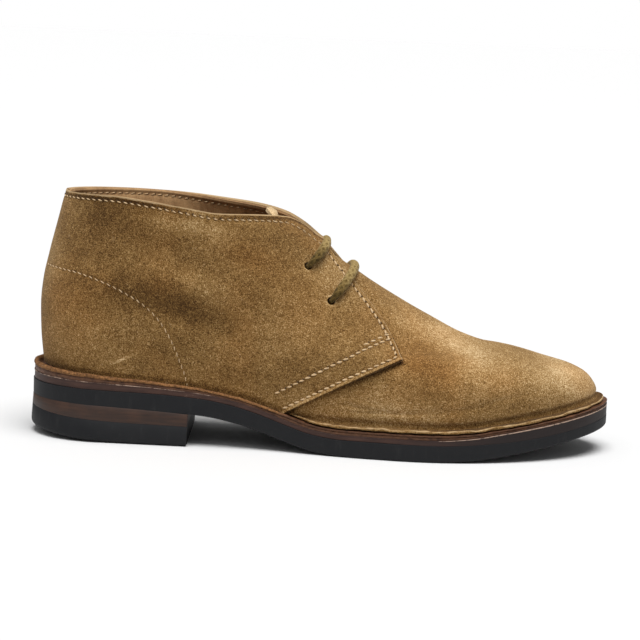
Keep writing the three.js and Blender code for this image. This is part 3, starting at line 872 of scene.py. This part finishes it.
inner_foot[..., 2] = wall_foot(inner_foot[..., 0])
inner_rows = np.repeat(inner_foot, len(flange_rows), 0)
inner_rows[..., 2] += np.linspace(0, 0.5, len(flange_rows))[:, None]
vamp_outer = np.concatenate([*flange_rows, vamp_outer])
vamp_inner = np.concatenate([inner_rows, vamp_inner])
vamp_raw = np.zeros(vamp_outer.shape[:2])
vamp_raw[: len(flange_rows)] = flange_profile["raw"][:, None] * turned_out(s)
tip = ease(vamp_outer[..., 2], 113, 115) * (1 - ease(vamp_outer[..., 0], 124, 127))
vamp_raw = np.maximum(vamp_raw, tip * 0.4)

# Where the nap is brushed the other way it looks darker or lighter. The table also paints the light and
# shade of the folds and the highlights on the crest, vamp and toe.
NAP_AND_LIGHT = columns(
    "side s z length width turn height",
    (0, 70, 75, 74, 50, 0, -0.5), (0, 150, 48, 28, 20, 20, -0.35), (0, 240, 42, 45, 16, -12, 0.2),
    (-1, 34, 112, 26, 13, 8, -0.7), (-1, 60, 104, 26, 14, -30, -0.25), (-1, 78, 71, 34, 8, -16, -0.85),
    (-1, 120, 62, 40, 16, -8, 0.65), (-1, 93, 105, 12, 7, -20, 0.4), (-1, 88, 80, 20, 6, -30, 0.75),
    (-1, 20, 118, 14, 5, -70, 0.5), (-1, 9, 96, 8, 24, 0, 0.5), (-1, 38, 52, 30, 18, 0, 0.4),
    (-1, 76, 112, 24, 4.5, -6, 1.0), (-1, 178, 24, 50, 8, -3, 0.75), (-1, 48, 42.5, 6, 0.6, 26, 1.7),
    (-1, 150, 88, 18, 10, -45, 0.5),
    (0, 205, 62, 30, 6, -28, 1.0), (0, 226, 54, 24, 6, -14, 0.6), (0, 274, 42, 24, 13, -18, 1.2),
    (-1, 205, 46, 14, 8, 10, -0.35), (-1, 225, 40, 14, 9, -20, 0.25), (-1, 240, 28, 40, 5, 8, -0.3),
    (-1, 66, 92, 22, 6, -14, 0.3), (-1, 8, 122, 5, 6, 0, 0.8), (-1, 126, 104, 14, 10, -20, -0.35),
    (0, 160, 88, 12, 8, -40, 0.4), (-1, 250, 52, 10, 4, -20, -0.4),
    (1, 34, 112, 26, 13, 8, -0.6), (1, 78, 71, 34, 8, -16, -0.8), (1, 97, 104, 24, 12, -6, 0.5),
)

# Where its colour is warmer.
WARM = columns(
    "side s z length width turn height",
    (0, 199, 51, 20, 12, -32, 0.5), (0, 240, 40, 10, 7, 0, 0.35), (-1, 112, 96, 16, 8, -20, 0.4),
    (-1, 24, 62, 16, 22, 0, 0.35), (-1, 138, 70, 16, 16, 0, 0.3),
)


def brushed(piece, points, painted_light_and_tone):
    """Marks on each point how the suede is brushed, with painted light and shade, less the painted shade
    and tone that it is given. Painted shade darkens it along the foot of the wall, least beside the ball."""
    s, z = points[..., 0], points[..., 2]
    # Painted shade along the foot of the wall.
    low = np.exp(-(((z - wall_start(s) - 0.8) / 1.1) ** 2))
    low = low * (0.78 - 0.5 * ease(s, 125, 150) * (1 - ease(s, 185, 215)))
    mark(piece.data, "nap_and_light", spots(NAP_AND_LIGHT, points) - low - painted_light_and_tone)
    mark(piece.data, "warm", spots(WARM, points))


EYELET_RADIUS = 2.1
EYELETS = {"lower": (152.2, 75.6), "upper": (139.8, 92.2)}


def suede_paint(place):
    cloud = place.noise(30, 3, 0.55)
    patch = place.noise(9, 4, 0.6)
    grain = place.noise(1.7, 3, 0.75)
    speck = place.noise(0.56, 2, 0.9)
    tone = place.marked("nap_and_light") * 0.21 + cloud * 0.26 + patch * 0.26
    tone = tone + grain * 0.58 + speck * 1.85 - 0.99
    stops = [
        (0.08, (0.038, 0.017, 0.005)), (0.34, (0.127, 0.064, 0.0185)), (0.55, (0.24, 0.134, 0.043)),
        (0.78, (0.41, 0.264, 0.114)), (1.0, (0.72, 0.54, 0.32)),
    ]
    tan = tone.ramp(stops)
    warm = place.noise(38, 3).over(0.45, 0.68) * 0.35 + place.marked("warm")
    tan = warm.colour(tan, tan.scaled((1.13, 0.92, 0.72)))
    fibre = place.noise(0.9, 4, 0.8)
    clump = place.noise(5, 3, 0.6)
    edge = (place.marked("raw") + fibre * 0.9 + clump * 2.4 - 1.8).over(0.3, 0.85)
    return {
        "Base Color": (edge * 0.8).colour(tan, (0.5, 0.35, 0.19)),
        "Normal": (grain * 0.5 + speck * 0.6 + patch * 0.4).bump(0.4),
    }


suede = finish("suede", suede_paint, Roughness=0.97, Specular_IOR_Level=0.08, Sheen_Weight=0.12,
               Sheen_Roughness=0.5, Sheen_Tint=(1.0, 0.84, 0.6, 1))
vamp = shell("vamp_and_tongue", vamp_outer, vamp_inner, suede, vamp_raw)

# Painted shade darkens the vamp beside the quarters' seam and facing edges and in the gutter behind the
# turned-out edge. The tongue is darker towards its top and paler at its tip.
vamp_shade_and_tone = 0.9 * ease(vamp_outer[..., 2], 98, 108) * (1 - tip)
for side in SIDES:
    for line, low, high, count, reach, depth in (
        (seam_line, 17, CORNER[0], 220, 1.5, 1.5),
        (facing_line, CORNER[0], 102, 260, 1.0, 1.8),
    ):
        z = np.linspace(low, high, count)
        edge = instep.lifted(*instep.place(side, line(z), z), 0)
        shade = np.exp(-((nearest(vamp_outer, edge) / reach) ** 2))
        vamp_shade_and_tone = np.maximum(vamp_shade_and_tone, depth * shade)
vamp_shade_and_tone -= 2.5 * tip
# Painted shade on the top of the turned-out edge, between its lip and the wall.
gutter = (flange_profile["up"] > 0.9) & (flange_profile["raw"] == 0)
gutter_s = vamp_outer[: len(flange_rows), :, 0]
vamp_shade_and_tone[: len(flange_rows)] += gutter[:, None] * mix(0.4, 1.3, ease(gutter_s, 185, 215))
vamp_faces = np.concatenate([vamp_outer, vamp_inner[::-1]])
brushed(vamp, vamp_faces, np.concatenate([vamp_shade_and_tone, vamp_shade_and_tone[::-1]]))
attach(vamp, "root")
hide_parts("upper", "tongue")

# ---- Quarters ----
# Two outer quarters of the same suede lie on the vamp, from the back seam to the diagonal seam and
# the facings. Their edges are cut raw, and two punched holes a side take the lace.
QUARTER = 1.4
# How far the seam's edge curls up, over what reach, and how much more at its corner.
LIP = {"curl": 0.9, "reach": 1.8, "corner": 0.4}

topline = {side: through(TOPLINE, "s", side) for side in SIDES}
collar = Last(topline)


def front_line(z):
    return np.where(z < CORNER[0], seam_line(z), facing_line(z))


corner_level = float(collar.place("lateral", CORNER[1], CORNER[0])[1])
from_rim = np.array([0, 0.1, 0.25, 0.45, 0.7, 1.0, 1.5, 2.1, 2.8]) / 100
quarter_levels = np.unique(np.concatenate([np.linspace(0, 0.965, 110), [corner_level], 1 - from_rim]))
# Across a cut edge: how far back from it, at what share of the thickness, and how raw.
CUT_EDGE = columns(
    "back share raw",
    (6, 1, 0), (5, 1, 0), (4.2, 1, 0), (3.5, 1, 0), (2.9, 1, 0), (2.4, 1, 0), (1.9, 1.04, 0),
    (1.5, 1.1, 0), (1.1, 1.13, 0), (0.75, 1.12, 0), (0.45, 1.08, 0.1), (0.22, 1.0, 0.6), (0.08, 0.86, 1),
    (0, 0.6, 1), (0, 0.3, 1), (0.04, 0.04, 1),
)
RIM_EDGE = columns("share raw", (0.85, 1), (0.5, 0.5), (0.1, 0))


def edge_line(side, line_of, low, high):
    """Close samples along an edge of a quarter's face."""
    z = np.linspace(low, high, 260)
    angle, v = collar.place(side, line_of(z), z)
    return collar.lifted(angle, v, GAP + QUARTER)


# Stitch rows on a quarter: how far in from its edge, how far below the topline, how far apart the
# two rows of the diagonal seam are, and the counter's row in the side view.
STITCH_IN = 2.4
RIM_ROW_IN = 2.7
STRIP = 8.6
COUNTER_SEAM = columns(
    "s z",
    (9.1, 86.6), (24.2, 85.1), (37.5, 81.7), (48.3, 77.2), (57.5, 71.8), (64.7, 65.6), (70.5, 58.2),
    (74.4, 51), (77.9, 42.8), (80.4, 36.4), (81.6, 31),
)


def offset_line(s, z, distance):
    """A line in the side view moved square to itself, backwards for a line that climbs."""
    along = np.stack([np.gradient(s), np.gradient(z)], 1)
    along /= np.linalg.norm(along, axis=1, keepdims=True)
    return s - along[:, 1] * distance, z + along[:, 0] * distance


def seam_rows(side):
    """Each stitch row of a quarter as places in the side view."""
    z = np.linspace(20.5, CORNER[0], 60)
    s = seam_line(z)
    edge_s, edge_z = offset_line(s, z, STITCH_IN)
    strip_s, strip_z = offset_line(s, z, STITCH_IN + STRIP)
    facing_z = np.linspace(CORNER[0], 99, 90)
    facing_s = facing_line(facing_z)
    in_s, in_z = offset_line(facing_s, facing_z, STITCH_IN * 0.85)
    return edge_s, edge_z, strip_s, strip_z, in_s, in_z


def on_quarter(side, s, z):
    """Points on the quarter's face with the way out of it, in six columns."""
    angle, v = collar.place(side, s, z)
    v = np.clip(v, 0, 0.995)
    face = collar.lifted(angle, v, GAP + QUARTER - 0.1)
    return np.concatenate([face, collar.normal(angle, v)], -1)


def quarter_stitches(side):
    """The stitch rows as lines on the quarter's face."""
    edge_s, edge_z, strip_s, strip_z, in_s, in_z = seam_rows(side)
    # The facing's row runs down to the corner and turns into the row along the diagonal seam.
    meets = np.argmin(np.abs(in_s[:, None] - edge_s[None]) + np.abs(in_z[:, None] - edge_z[None]), axis=1)
    gaps = np.abs(in_s - edge_s[meets]) + np.abs(in_z - edge_z[meets])
    turn = int(np.argmin(gaps))
    corner = int(meets[turn])
    around_s = np.concatenate([in_s[:turn:-1], edge_s[corner::-1]])
    around_z = np.concatenate([in_z[:turn:-1], edge_z[corner::-1]])
    inside = (strip_s < facing_line(strip_z) - STITCH_IN) & (strip_z > 26)
    strip_s, strip_z = strip_s[inside], strip_z[inside]
    tack_s, tack_z = offset_line(strip_s, strip_z, 2.1)
    rim_s = np.linspace(11.5, 147.6, 220)
    rim_z = topline[side](rim_s) - RIM_ROW_IN
    counter = {"t": np.linspace(0, 1, len(COUNTER_SEAM["s"])), **COUNTER_SEAM}
    counter_s, counter_z = (through(counter, "t", name)(np.linspace(0, 1, 80)) for name in "sz")
    return {
        "edge": on_quarter(side, around_s, around_z),
        "strip": on_quarter(side, strip_s, strip_z),
        "tack": on_quarter(side, tack_s[-9:], tack_z[-9:]),
        "rim": on_quarter(side, rim_s, rim_z),
        "counter": on_quarter(side, counter_s, counter_z),
    }


def dense(line, step=0.4):
    """A line sampled evenly at about this step."""
    gap = np.linalg.norm(np.diff(line[:, :3], axis=0), axis=1)
    run = np.concatenate([[0], np.cumsum(gap)])
    at = np.linspace(0, run[-1], max(2, int(run[-1] / step)))
    return np.stack([np.interp(at, run, column) for column in line.T], 1)


def make_quarter(side):
    v = quarter_levels[:, None]
    front = collar.angle_where(side, v, front_line)
    ends = collar.ends(side, v)
    front_s = mix(ends[0], ends[1], (1 - np.cos(front)) / 2)
    front_z = collar.height(side, front_s, v)
    slope = (front_line(front_z + 0.3) - front_line(front_z - 0.3)) / 0.6
    stretch = np.sqrt(1 + np.clip(slope, -2.2, 2.2) ** 2)
    near_s = front_s - CUT_EDGE["back"][None, :] * stretch
    near = np.arccos(1 - 2 * np.clip((near_s - ends[0]) / (ends[1] - ends[0]), 0, 1))
    share = np.linspace(0.004, 1, 116)[None, :-1]
    angle = np.concatenate([near[:, :1] * share, near], 1) * SIDES[side]
    level = np.broadcast_to(v, angle.shape)
    thick = np.broadcast_to([*np.ones(share.size), *CUT_EDGE["share"]], angle.shape)
    raw = np.broadcast_to([*np.zeros(share.size), *CUT_EDGE["raw"]], angle.shape)
    # The rim turns over in rows of its own.
    extra = len(RIM_EDGE["share"])
    angle = np.concatenate([angle, np.repeat(angle[-1:], extra, 0)])
    level = np.concatenate([level, np.repeat(level[-1:], extra, 0)])
    thick = np.concatenate([thick, np.minimum(RIM_EDGE["share"][:, None], thick[-1:])])
    raw = np.concatenate([raw, np.maximum(RIM_EDGE["raw"][:, None], raw[-1:])])
    face = collar.lifted(angle, level, GAP + QUARTER)
    seam_edge = edge_line(side, seam_line, 16, CORNER[0])
    facing_edge = edge_line(side, facing_line, CORNER[0], 101.5)
    around = np.linspace(0.0, math.pi * 0.95, 500) * SIDES[side]
    rim_edge = collar.lifted(around, 1.0, GAP + QUARTER)
    edges = (seam_edge, facing_edge, rim_edge)
    to_seam, to_facing, to_rim = (nearest(face, edge) for edge in edges)
    to_corner = np.linalg.norm(face - seam_edge[-1], axis=-1)
    curl = LIP["curl"] * np.exp(-((to_seam / LIP["reach"]) ** 2))
    curl = curl + LIP["corner"] * np.exp(-((to_corner / 3.2) ** 2))
    lift = GAP + QUARTER * thick + curl
    rows = quarter_stitches(side)
    # Painted shade darkens a band below the rim, least where the topline dips, and a painted highlight
    # makes the band along the seam's edge pale.
    rim_shade = 1.1 - 1.8 * np.exp(-(((face[..., 0] - 84) / 17) ** 2))
    painted_light_and_tone = rim_shade * ease(to_rim, 0.7, 1.1) * (1 - ease(to_rim, 2.0, 3.0))
    painted_light_and_tone = painted_light_and_tone - 0.5 * ease(to_seam, 0.3, 0.8) * (1 - ease(to_seam, 1.6, 2.2))
    # Painted shade darkens the stitch grooves.
    for name, depth, spread in (
        ("edge", 0.45, 0.8), ("strip", 0.45, 0.8), ("rim", 0.45, 0.85), ("counter", 0.3, 0.7),
    ):
        groove = np.exp(-((nearest(face, dense(rows[name], 0.7)[:, :3]) / spread) ** 2))
        lift = lift - depth * groove
        painted_light_and_tone = painted_light_and_tone + 0.3 * groove
    # Each eyelet gets a paler ring.
    for eyelet_s, eyelet_z in EYELETS.values():
        eyelet = collar.lifted(*collar.place(side, eyelet_s, eyelet_z), GAP + QUARTER)
        to_eyelet = np.linalg.norm(face - eyelet, axis=-1)
        painted_light_and_tone = painted_light_and_tone - 1.3 * np.exp(-(((to_eyelet - 2.5) / 0.5) ** 2))
    outer = collar.lifted(angle, level, lift)
    inner = collar.lifted(angle, level, GAP + curl * 0.8)
    outer[0, :, 2] -= 0.5
    inner[0, :, 2] -= 0.5
    # The cut face along the diagonal seam is painted in shade.
    shaded_cut = raw * (to_seam < 1.2) * (to_facing > 0.6)
    painted_light_and_tone = painted_light_and_tone + 2.2 * shaded_cut
    raw = raw * (1 - (shaded_cut > 0))
    raw = np.maximum(raw, 1.5 * (1 - ease(to_rim, 0.35, 0.85)))
    raw = np.maximum(raw, 1.1 * (1 - ease(to_facing, 0.3, 0.8)))
    raw[0] = 0
    piece = shell(f"quarter_{side}_suede", outer, inner, suede, raw)
    faces = np.concatenate([outer, inner[::-1]])
    brushed(piece, faces, np.concatenate([painted_light_and_tone, np.zeros(painted_light_and_tone.shape)]))
    return piece, rows


def bake(piece):
    """Makes real what a piece's modifiers do."""
    bpy.context.view_layer.update()
    shaped = piece.evaluated_get(bpy.context.evaluated_depsgraph_get())
    real = bpy.data.meshes.new_from_object(shaped)
    piece.modifiers.clear()
    piece.data = real


def punch(piece, side):
    """Cuts the eyelet holes through a piece."""
    for s, z in EYELETS.values():
        angle, v = collar.place(side, s, z)
        centre = collar.point(angle, v)
        normal = collar.normal(angle, v)
        turn = Vector((0, 0, 1)).rotation_difference(Vector(normal)).to_matrix().to_4x4()
        bpy.ops.mesh.primitive_cylinder_add(vertices=40, radius=EYELET_RADIUS * MM, depth=12 * MM)
        tool = bpy.context.object
        at = Vector(centre - (HEEL_CENTRE, 0, 0)) * MM
        tool.matrix_world = Matrix.Translation(at) @ turn
        hole = piece.modifiers.new("hole", "BOOLEAN")
        hole.object = tool
        hole.operation = "DIFFERENCE"
        hole.solver = "EXACT"
        bake(piece)
        bpy.data.objects.remove(tool)


stitch_rows = {}
for side in SIDES:
    quarter, stitch_rows[side] = make_quarter(side)
    punch(quarter, side)
    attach(quarter, "root")
    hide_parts(f"quarter_{side}")

# ---- Lining ----
# Tan leather inside the quarters, from the insole up to the topline and forward to the facings.
def lining_front(z):
    return mix(vamp_back(z) - 0.6, facing_line(z) - 1.0, ease(z, 76, 84))


lining_levels = np.unique(np.concatenate([np.linspace(0, 0.96, 60), 1 - from_rim]))
v = lining_levels[:, None]
edge_angle = {side: collar.angle_where(side, v, lining_front) for side in SIDES}
turn = np.linspace(-1, 1, 241)[None, :]
lining_angle = np.where(turn < 0, edge_angle["lateral"], edge_angle["medial"]) * turn
lining_level = np.broadcast_to(v, lining_angle.shape)
rim_fill = ease(lining_level, 0.9, 0.97)
outer = collar.lifted(lining_angle, lining_level, mix(-0.3, GAP * 0.6, rim_fill))
inner = collar.lifted(lining_angle, lining_level, -WALL + 0.7 * ease(lining_level, 0.99, 1))
# The rim's stitches draw the lining against the suede.
rim_row = np.exp(-(((lining_level - 0.973) / 0.008) ** 2)) * 0.35
inner = inner + collar.normal(lining_angle, lining_level) * rim_row[..., None]
# Below the rim the lining is painted dark: its darker leather and painted shade.
raw = 0.35 * ease(lining_level, 0.95, 0.985)
lining = shell("quarter_lining", outer, inner, lining_leather, raw, raw)
for side in SIDES:
    punch(lining, side)
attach(lining, "root")

# ---- Stitching ----
# Light sand thread, about seven stitches to the inch, in rows along the seams. Each stitch dips into a
# needle hole at both ends, and each needle hole is a dark bead of painted shade.
def thread_paint(place):
    twist = place.noise(0.35, 2)
    shade = place.noise(4, 2)
    tone = (twist * 0.5 + shade * 0.5).over(0.3, 0.7)
    sand = tone.colour((0.42, 0.275, 0.14), (0.7, 0.51, 0.3))
    return {"Base Color": sand, "Normal": twist.bump(0.06)}


# A needle hole is painted shade: a dark bead.
def hole_shade_paint(place):
    return {"Base Color": place.noise(1, 2).colour((0.05, 0.027, 0.01), (0.1, 0.056, 0.02))}


thread = finish("thread", thread_paint, Roughness=0.8, Specular_IOR_Level=0.2)
needle_hole_shade = finish("needle_hole_shade", hole_shade_paint, Roughness=1.0)


def stitch_tree():
    """Geometry Nodes that sew along a line: thread on the pitch, and between the stitches a dark bead of
    painted shade for a needle hole.
    """
    tree = bpy.data.node_groups.new("stitch_row", "GeometryNodeTree")
    kinds = {
        "Line": "Geometry", "Pitch": "Float", "Length": "Float", "Thickness": "Float",
        "Hole Size": "Float", "Slant": "Float", "Seed": "Int", "Thread": "Material",
        "Hole": "Material",
    }
    inputs = {}
    for name, kind in kinds.items():
        socket = tree.interface.new_socket(name, in_out="INPUT", socket_type=f"NodeSocket{kind}")
        inputs[name] = socket.identifier
    tree.interface.new_socket("Stitches", in_out="OUTPUT", socket_type="NodeSocketGeometry")
    group_input = tree.nodes.new("NodeGroupInput")
    given = {name: Wire(tree, group_input.outputs[name]) for name in kinds}
    node = given["Line"].node
    line = node("GeometryNodeMeshToCurve", {}, {"Mesh": given["Line"]})
    half_pitch = given["Pitch"] * 0.5
    cut_line = node("GeometryNodeTrimCurve", {"mode": "LENGTH"}, {"Curve": line, 4: half_pitch, 5: 10.0})
    tangent = node("GeometryNodeInputTangent")
    along = node("FunctionNodeAlignRotationToVector", {"axis": "X"}, {"Vector": tangent})
    way_out = node("GeometryNodeInputNamedAttribute", {"data_type": "FLOAT_VECTOR"}, {"Name": "way_out"})
    upright = node(
        "FunctionNodeAlignRotationToVector", {"axis": "Z", "pivot_axis": "X"},
        {"Rotation": along, "Vector": way_out},
    )
    slant = node("ShaderNodeCombineXYZ", {}, {"Z": given["Slant"]})
    slant = node("FunctionNodeEulerToRotation", {}, {"Euler": slant})
    turned = node(
        "FunctionNodeRotateRotation", {"rotation_space": "LOCAL"},
        {"Rotation": upright, "Rotate By": slant},
    )
    made = []
    for route, length, thickness, aligned, aside, material in (
        (line, given["Length"], given["Thickness"], turned, 0.0, given["Thread"]),
        (cut_line, given["Hole Size"], given["Hole Size"], upright, 0.5, given["Hole"]),
    ):
        spacing = {"Curve": route, "Length": given["Pitch"]}
        spaced = node("GeometryNodeResampleCurve", {"mode": "LENGTH"}, spacing)
        bead = node("GeometryNodeMeshUVSphere", {}, {"Segments": 10, "Rings": 7, "Radius": 0.5})
        shift = {"Geometry": bead, "Translation": (0, aside, 0)}
        bead = node("GeometryNodeTransform", {}, shift)
        size = node("ShaderNodeCombineXYZ", {}, {"X": length, "Y": thickness, "Z": thickness})
        least, most = (0.88, 0.85, 0.85), (1.06, 1.1, 1.1)
        loose = {0: least, 1: most, "Seed": given["Seed"]}
        loose = node("FunctionNodeRandomValue", {"data_type": "FLOAT_VECTOR"}, loose)
        laid = node("GeometryNodeInstanceOnPoints", {}, {
            "Points": spaced, "Instance": bead, "Rotation": aligned, "Scale": size.scaled(loose),
        })
        real = node("GeometryNodeRealizeInstances", {}, {"Geometry": laid})
        smooth = node("GeometryNodeSetShadeSmooth", {}, {"Geometry": real})
        coloured = {"Geometry": smooth, "Material": material}
        made.append(node("GeometryNodeSetMaterial", {}, coloured))
    joined = node("GeometryNodeJoinGeometry", {}, {0: made[0]})
    tree.links.new(made[1].socket, joined.socket.node.inputs[0])
    group_output = tree.nodes.new("NodeGroupOutput")
    tree.links.new(joined.socket, group_output.inputs["Stitches"])
    return tree, inputs


sewing, sewing_inputs = stitch_tree()


def sew(name, lines, pitch, length, thickness, hole, slant, seed):
    """A piece of stitching along lines given in millimetres, in six columns."""
    points, edges = [], []
    for line in lines:
        start = len(points)
        points += ((line[:, :3] - (HEEL_CENTRE, 0, 0)) * MM).tolist()
        edges += [(k, k + 1) for k in range(start, len(points) - 1)]
    mesh = bpy.data.meshes.new(name)
    mesh.from_pydata(points, edges, [])
    way_out = mesh.attributes.new("way_out", "FLOAT_VECTOR", "POINT")
    outward = np.concatenate(lines)[:, 3:]
    way_out.data.foreach_set("vector", outward.ravel().astype(np.float32))
    row = bpy.data.objects.new(name, mesh)
    bpy.context.scene.collection.objects.link(row)
    sewn = row.modifiers.new("sewing", "NODES")
    sewn.node_group = sewing
    values = {
        "Pitch": pitch * MM, "Length": length * MM, "Thickness": thickness * MM,
        "Hole Size": hole * MM, "Slant": math.radians(slant), "Seed": seed, "Thread": thread,
        "Hole": needle_hole_shade,
    }
    for key, value in values.items():
        sewn[sewing_inputs[key]] = value
    bake(row)
    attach(row, "root")


def inside_rim(side):
    """The topline's row where it shows on the lining."""
    s = np.linspace(13, 146, 220)
    angle, v = collar.place(side, s, topline[side](s) - RIM_ROW_IN)
    return np.concatenate([collar.lifted(angle, v, -WALL + 0.1), -collar.normal(angle, v)], -1)


# Of each kind of row: pitch, length and thickness of a stitch, and the size of a needle hole.
STITCHES = {
    "seams": (3.4, 2.9, 1.05, 0.9),
    "rim": (3.5, 2.5, 0.65, 0.9),
    "counter": (3.3, 2.5, 0.5, 0.5),
    "lining": (3.5, 2.5, 0.6, 0.6),
}
for number, side in enumerate(SIDES):
    rows = stitch_rows[side]
    rows["seams"] = [rows["edge"], rows["strip"], rows["tack"]]
    rows["lining"] = inside_rim(side)
    for kind, (name, sizes) in enumerate(STITCHES.items()):
        lines = rows[name] if name == "seams" else [rows[name]]
        lines = [dense(line) for line in lines]
        sew(f"stitching_{side}_{name}", lines, *sizes, 14 * SIDES[side], number + 10 * kind)

# ---- Lace ----
# One round braided cotton lace. It lies in two bars over the facings and runs inside from hole to
# hole. Both of its ends stop inside, by the top hole of the lateral side.
LACE_RADIUS = 2.45
LACE_CLEAR = GAP + QUARTER + LACE_RADIUS - 0.1


def crest_across(s, z):
    """Where the crest is straight across the instep from an eyelet."""
    heights = z + np.arange(100) / 4
    slope = crest(heights + 0.25) - crest(heights - 0.25)
    miss = np.abs((crest(heights) - s) * slope / 0.5 + heights - z)
    height = heights[np.argmin(miss)]
    return float(crest(height)), float(height)


def lace_points(eyelet, side, table):
    """Places along a bar: how far from the eyelet to the crest, how far off the face, and sag."""
    s, z = EYELETS[eyelet]
    over_s, over_z = crest_across(s, z)
    found = []
    for share, lift, sag in zip(table["share"], table["lift"], table["sag"]):
        angle, v = instep.place(side, mix(s, over_s, share), mix(z, over_z, share) - sag)
        found.append(instep.point(angle, v) + instep.normal(angle, v) * lift)
    return found


def lace_route():
    inside = -WALL - 2.6
    rise = columns(
        "share lift sag",
        (-0.03, inside - 0.6, 0), (-0.02, inside, 0), (0.02, -1.6, 0), (0.05, 0.7, 0), (0.15, 2.9, 0.3),
        (0.34, LACE_CLEAR, 0.8), (0.58, LACE_CLEAR, 0.7), (0.8, LACE_CLEAR - 0.3, 0.2),
    )
    top = columns("share lift sag", (0.995, LACE_RADIUS - 1.4, 0))

    def bar(eyelet, first, second):
        over = lace_points(eyelet, "lateral", top)
        return [*lace_points(eyelet, first, rise), *over, *lace_points(eyelet, second, rise)[::-1]]

    def inside_run(side, first, second, shares):
        found = []
        for share in shares:
            s = mix(EYELETS[first][0], EYELETS[second][0], share)
            z = mix(EYELETS[first][1], EYELETS[second][1], share)
            angle, v = instep.place(side, s, z)
            found.append(instep.point(angle, v) + instep.normal(angle, v) * (inside - 1.4))
        return found

    down = inside_run("lateral", "upper", "lower", [0.1, 0.35, 0.65])
    up = inside_run("medial", "lower", "upper", [0.3, 0.5, 0.7])
    return np.array([*down, *bar("lower", "lateral", "medial"), *up, *bar("upper", "medial", "lateral")])


def smooth_line(points, step):
    """A smooth line through points, sampled evenly."""
    ring = np.concatenate([2 * points[:1] - points[1:2], points, 2 * points[-1:] - points[-2:-1]])
    t = np.linspace(0, 1, 12, endpoint=False)[:, None]
    parts = []
    for a, b, c, d in zip(ring, ring[1:], ring[2:], ring[3:]):
        bend, twist = 2 * a - 5 * b + 4 * c - d, 3 * b - a - 3 * c + d
        parts.append(b + ((c - a) * t + bend * t**2 + twist * t**3) / 2)
    return dense(np.concatenate([*parts, points[-1:]]), step)


def braided_cord(name, route, radius, material):
    """A tube whose surface is a braid of strands wound both ways, squeezed in the eyelets."""
    sides, strands, lay = 28, 4, 4.4
    along = np.gradient(route, axis=0)
    along /= np.linalg.norm(along, axis=1, keepdims=True)
    across = np.zeros_like(route)
    guide = np.cross(along[0], (0, 0, 1.0))
    for k in range(len(route)):
        guide = guide - along[k] * np.dot(guide, along[k])
        guide /= np.linalg.norm(guide)
        across[k] = guide
    other = np.cross(along, across)
    run = np.concatenate([[0], np.cumsum(np.linalg.norm(np.diff(route, axis=0), axis=1))])[:, None]
    holes = np.array([
        collar.point(angle, v)
        for side in SIDES
        for angle, v in (collar.place(side, s, z) for s, z in EYELETS.values())
    ])
    to_hole = np.linalg.norm(route[:, None] - holes[None], axis=2).min(1)[:, None]
    squeeze = mix(0.58, 1, ease(to_hole, 0.8, 8.0))
    round_it = np.linspace(0, 2 * np.pi, sides, endpoint=False)[None, :]
    one = np.cos(strands * round_it + 2 * np.pi * run / lay)
    two = np.cos(strands * round_it - 2 * np.pi * run / lay)
    strand = np.maximum(one, two)
    taper = np.clip(np.minimum(run, run[-1] - run) / 1.2, 0.02, 1) ** 0.5
    reach = radius * (0.93 + 0.07 * strand) * taper * squeeze
    ring = np.cos(round_it)[..., None] * across[:, None]
    ring = ring + np.sin(round_it)[..., None] * other[:, None]
    rings = route[:, None] + reach[..., None] * ring
    # For the lace's colour: the braid's strands, with painted shade between them and towards the holes.
    raised = (strand + 1) * 0.22 + 0.56 * ease(to_hole, 3, 17)
    return block(name, rings, material, raised)


def lace_paint(place):
    # The raw mark carries the strands and painted shade: the cord is painted darker between the strands
    # and near the holes, and lighter along the bar's top.
    strand = place.marked("raw")
    fibre = place.noise(0.5, 3, 0.7)
    shade = place.noise(7, 2)
    tone = strand * 0.6 + fibre * 1.15 + shade * 0.25 - 0.57
    stops = [(0.1, (0.026, 0.0165, 0.0045)), (0.5, (0.15, 0.096, 0.029)), (0.9, (0.44, 0.32, 0.135))]
    return {"Base Color": tone.ramp(stops), "Normal": fibre.bump(0.12)}


lace_cord = finish("lace_cord", lace_paint, Roughness=0.95, Specular_IOR_Level=0.08, Sheen_Weight=0.05)
lace = braided_cord("lace", smooth_line(lace_route(), 0.4), LACE_RADIUS, lace_cord)
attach(lace, "root")
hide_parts("lace_bar_lower", "lace_bar_upper")

low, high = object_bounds()
sizes = {"cad": [list(cad_low), list(cad_high)], "visual": [list(low), list(high)]}
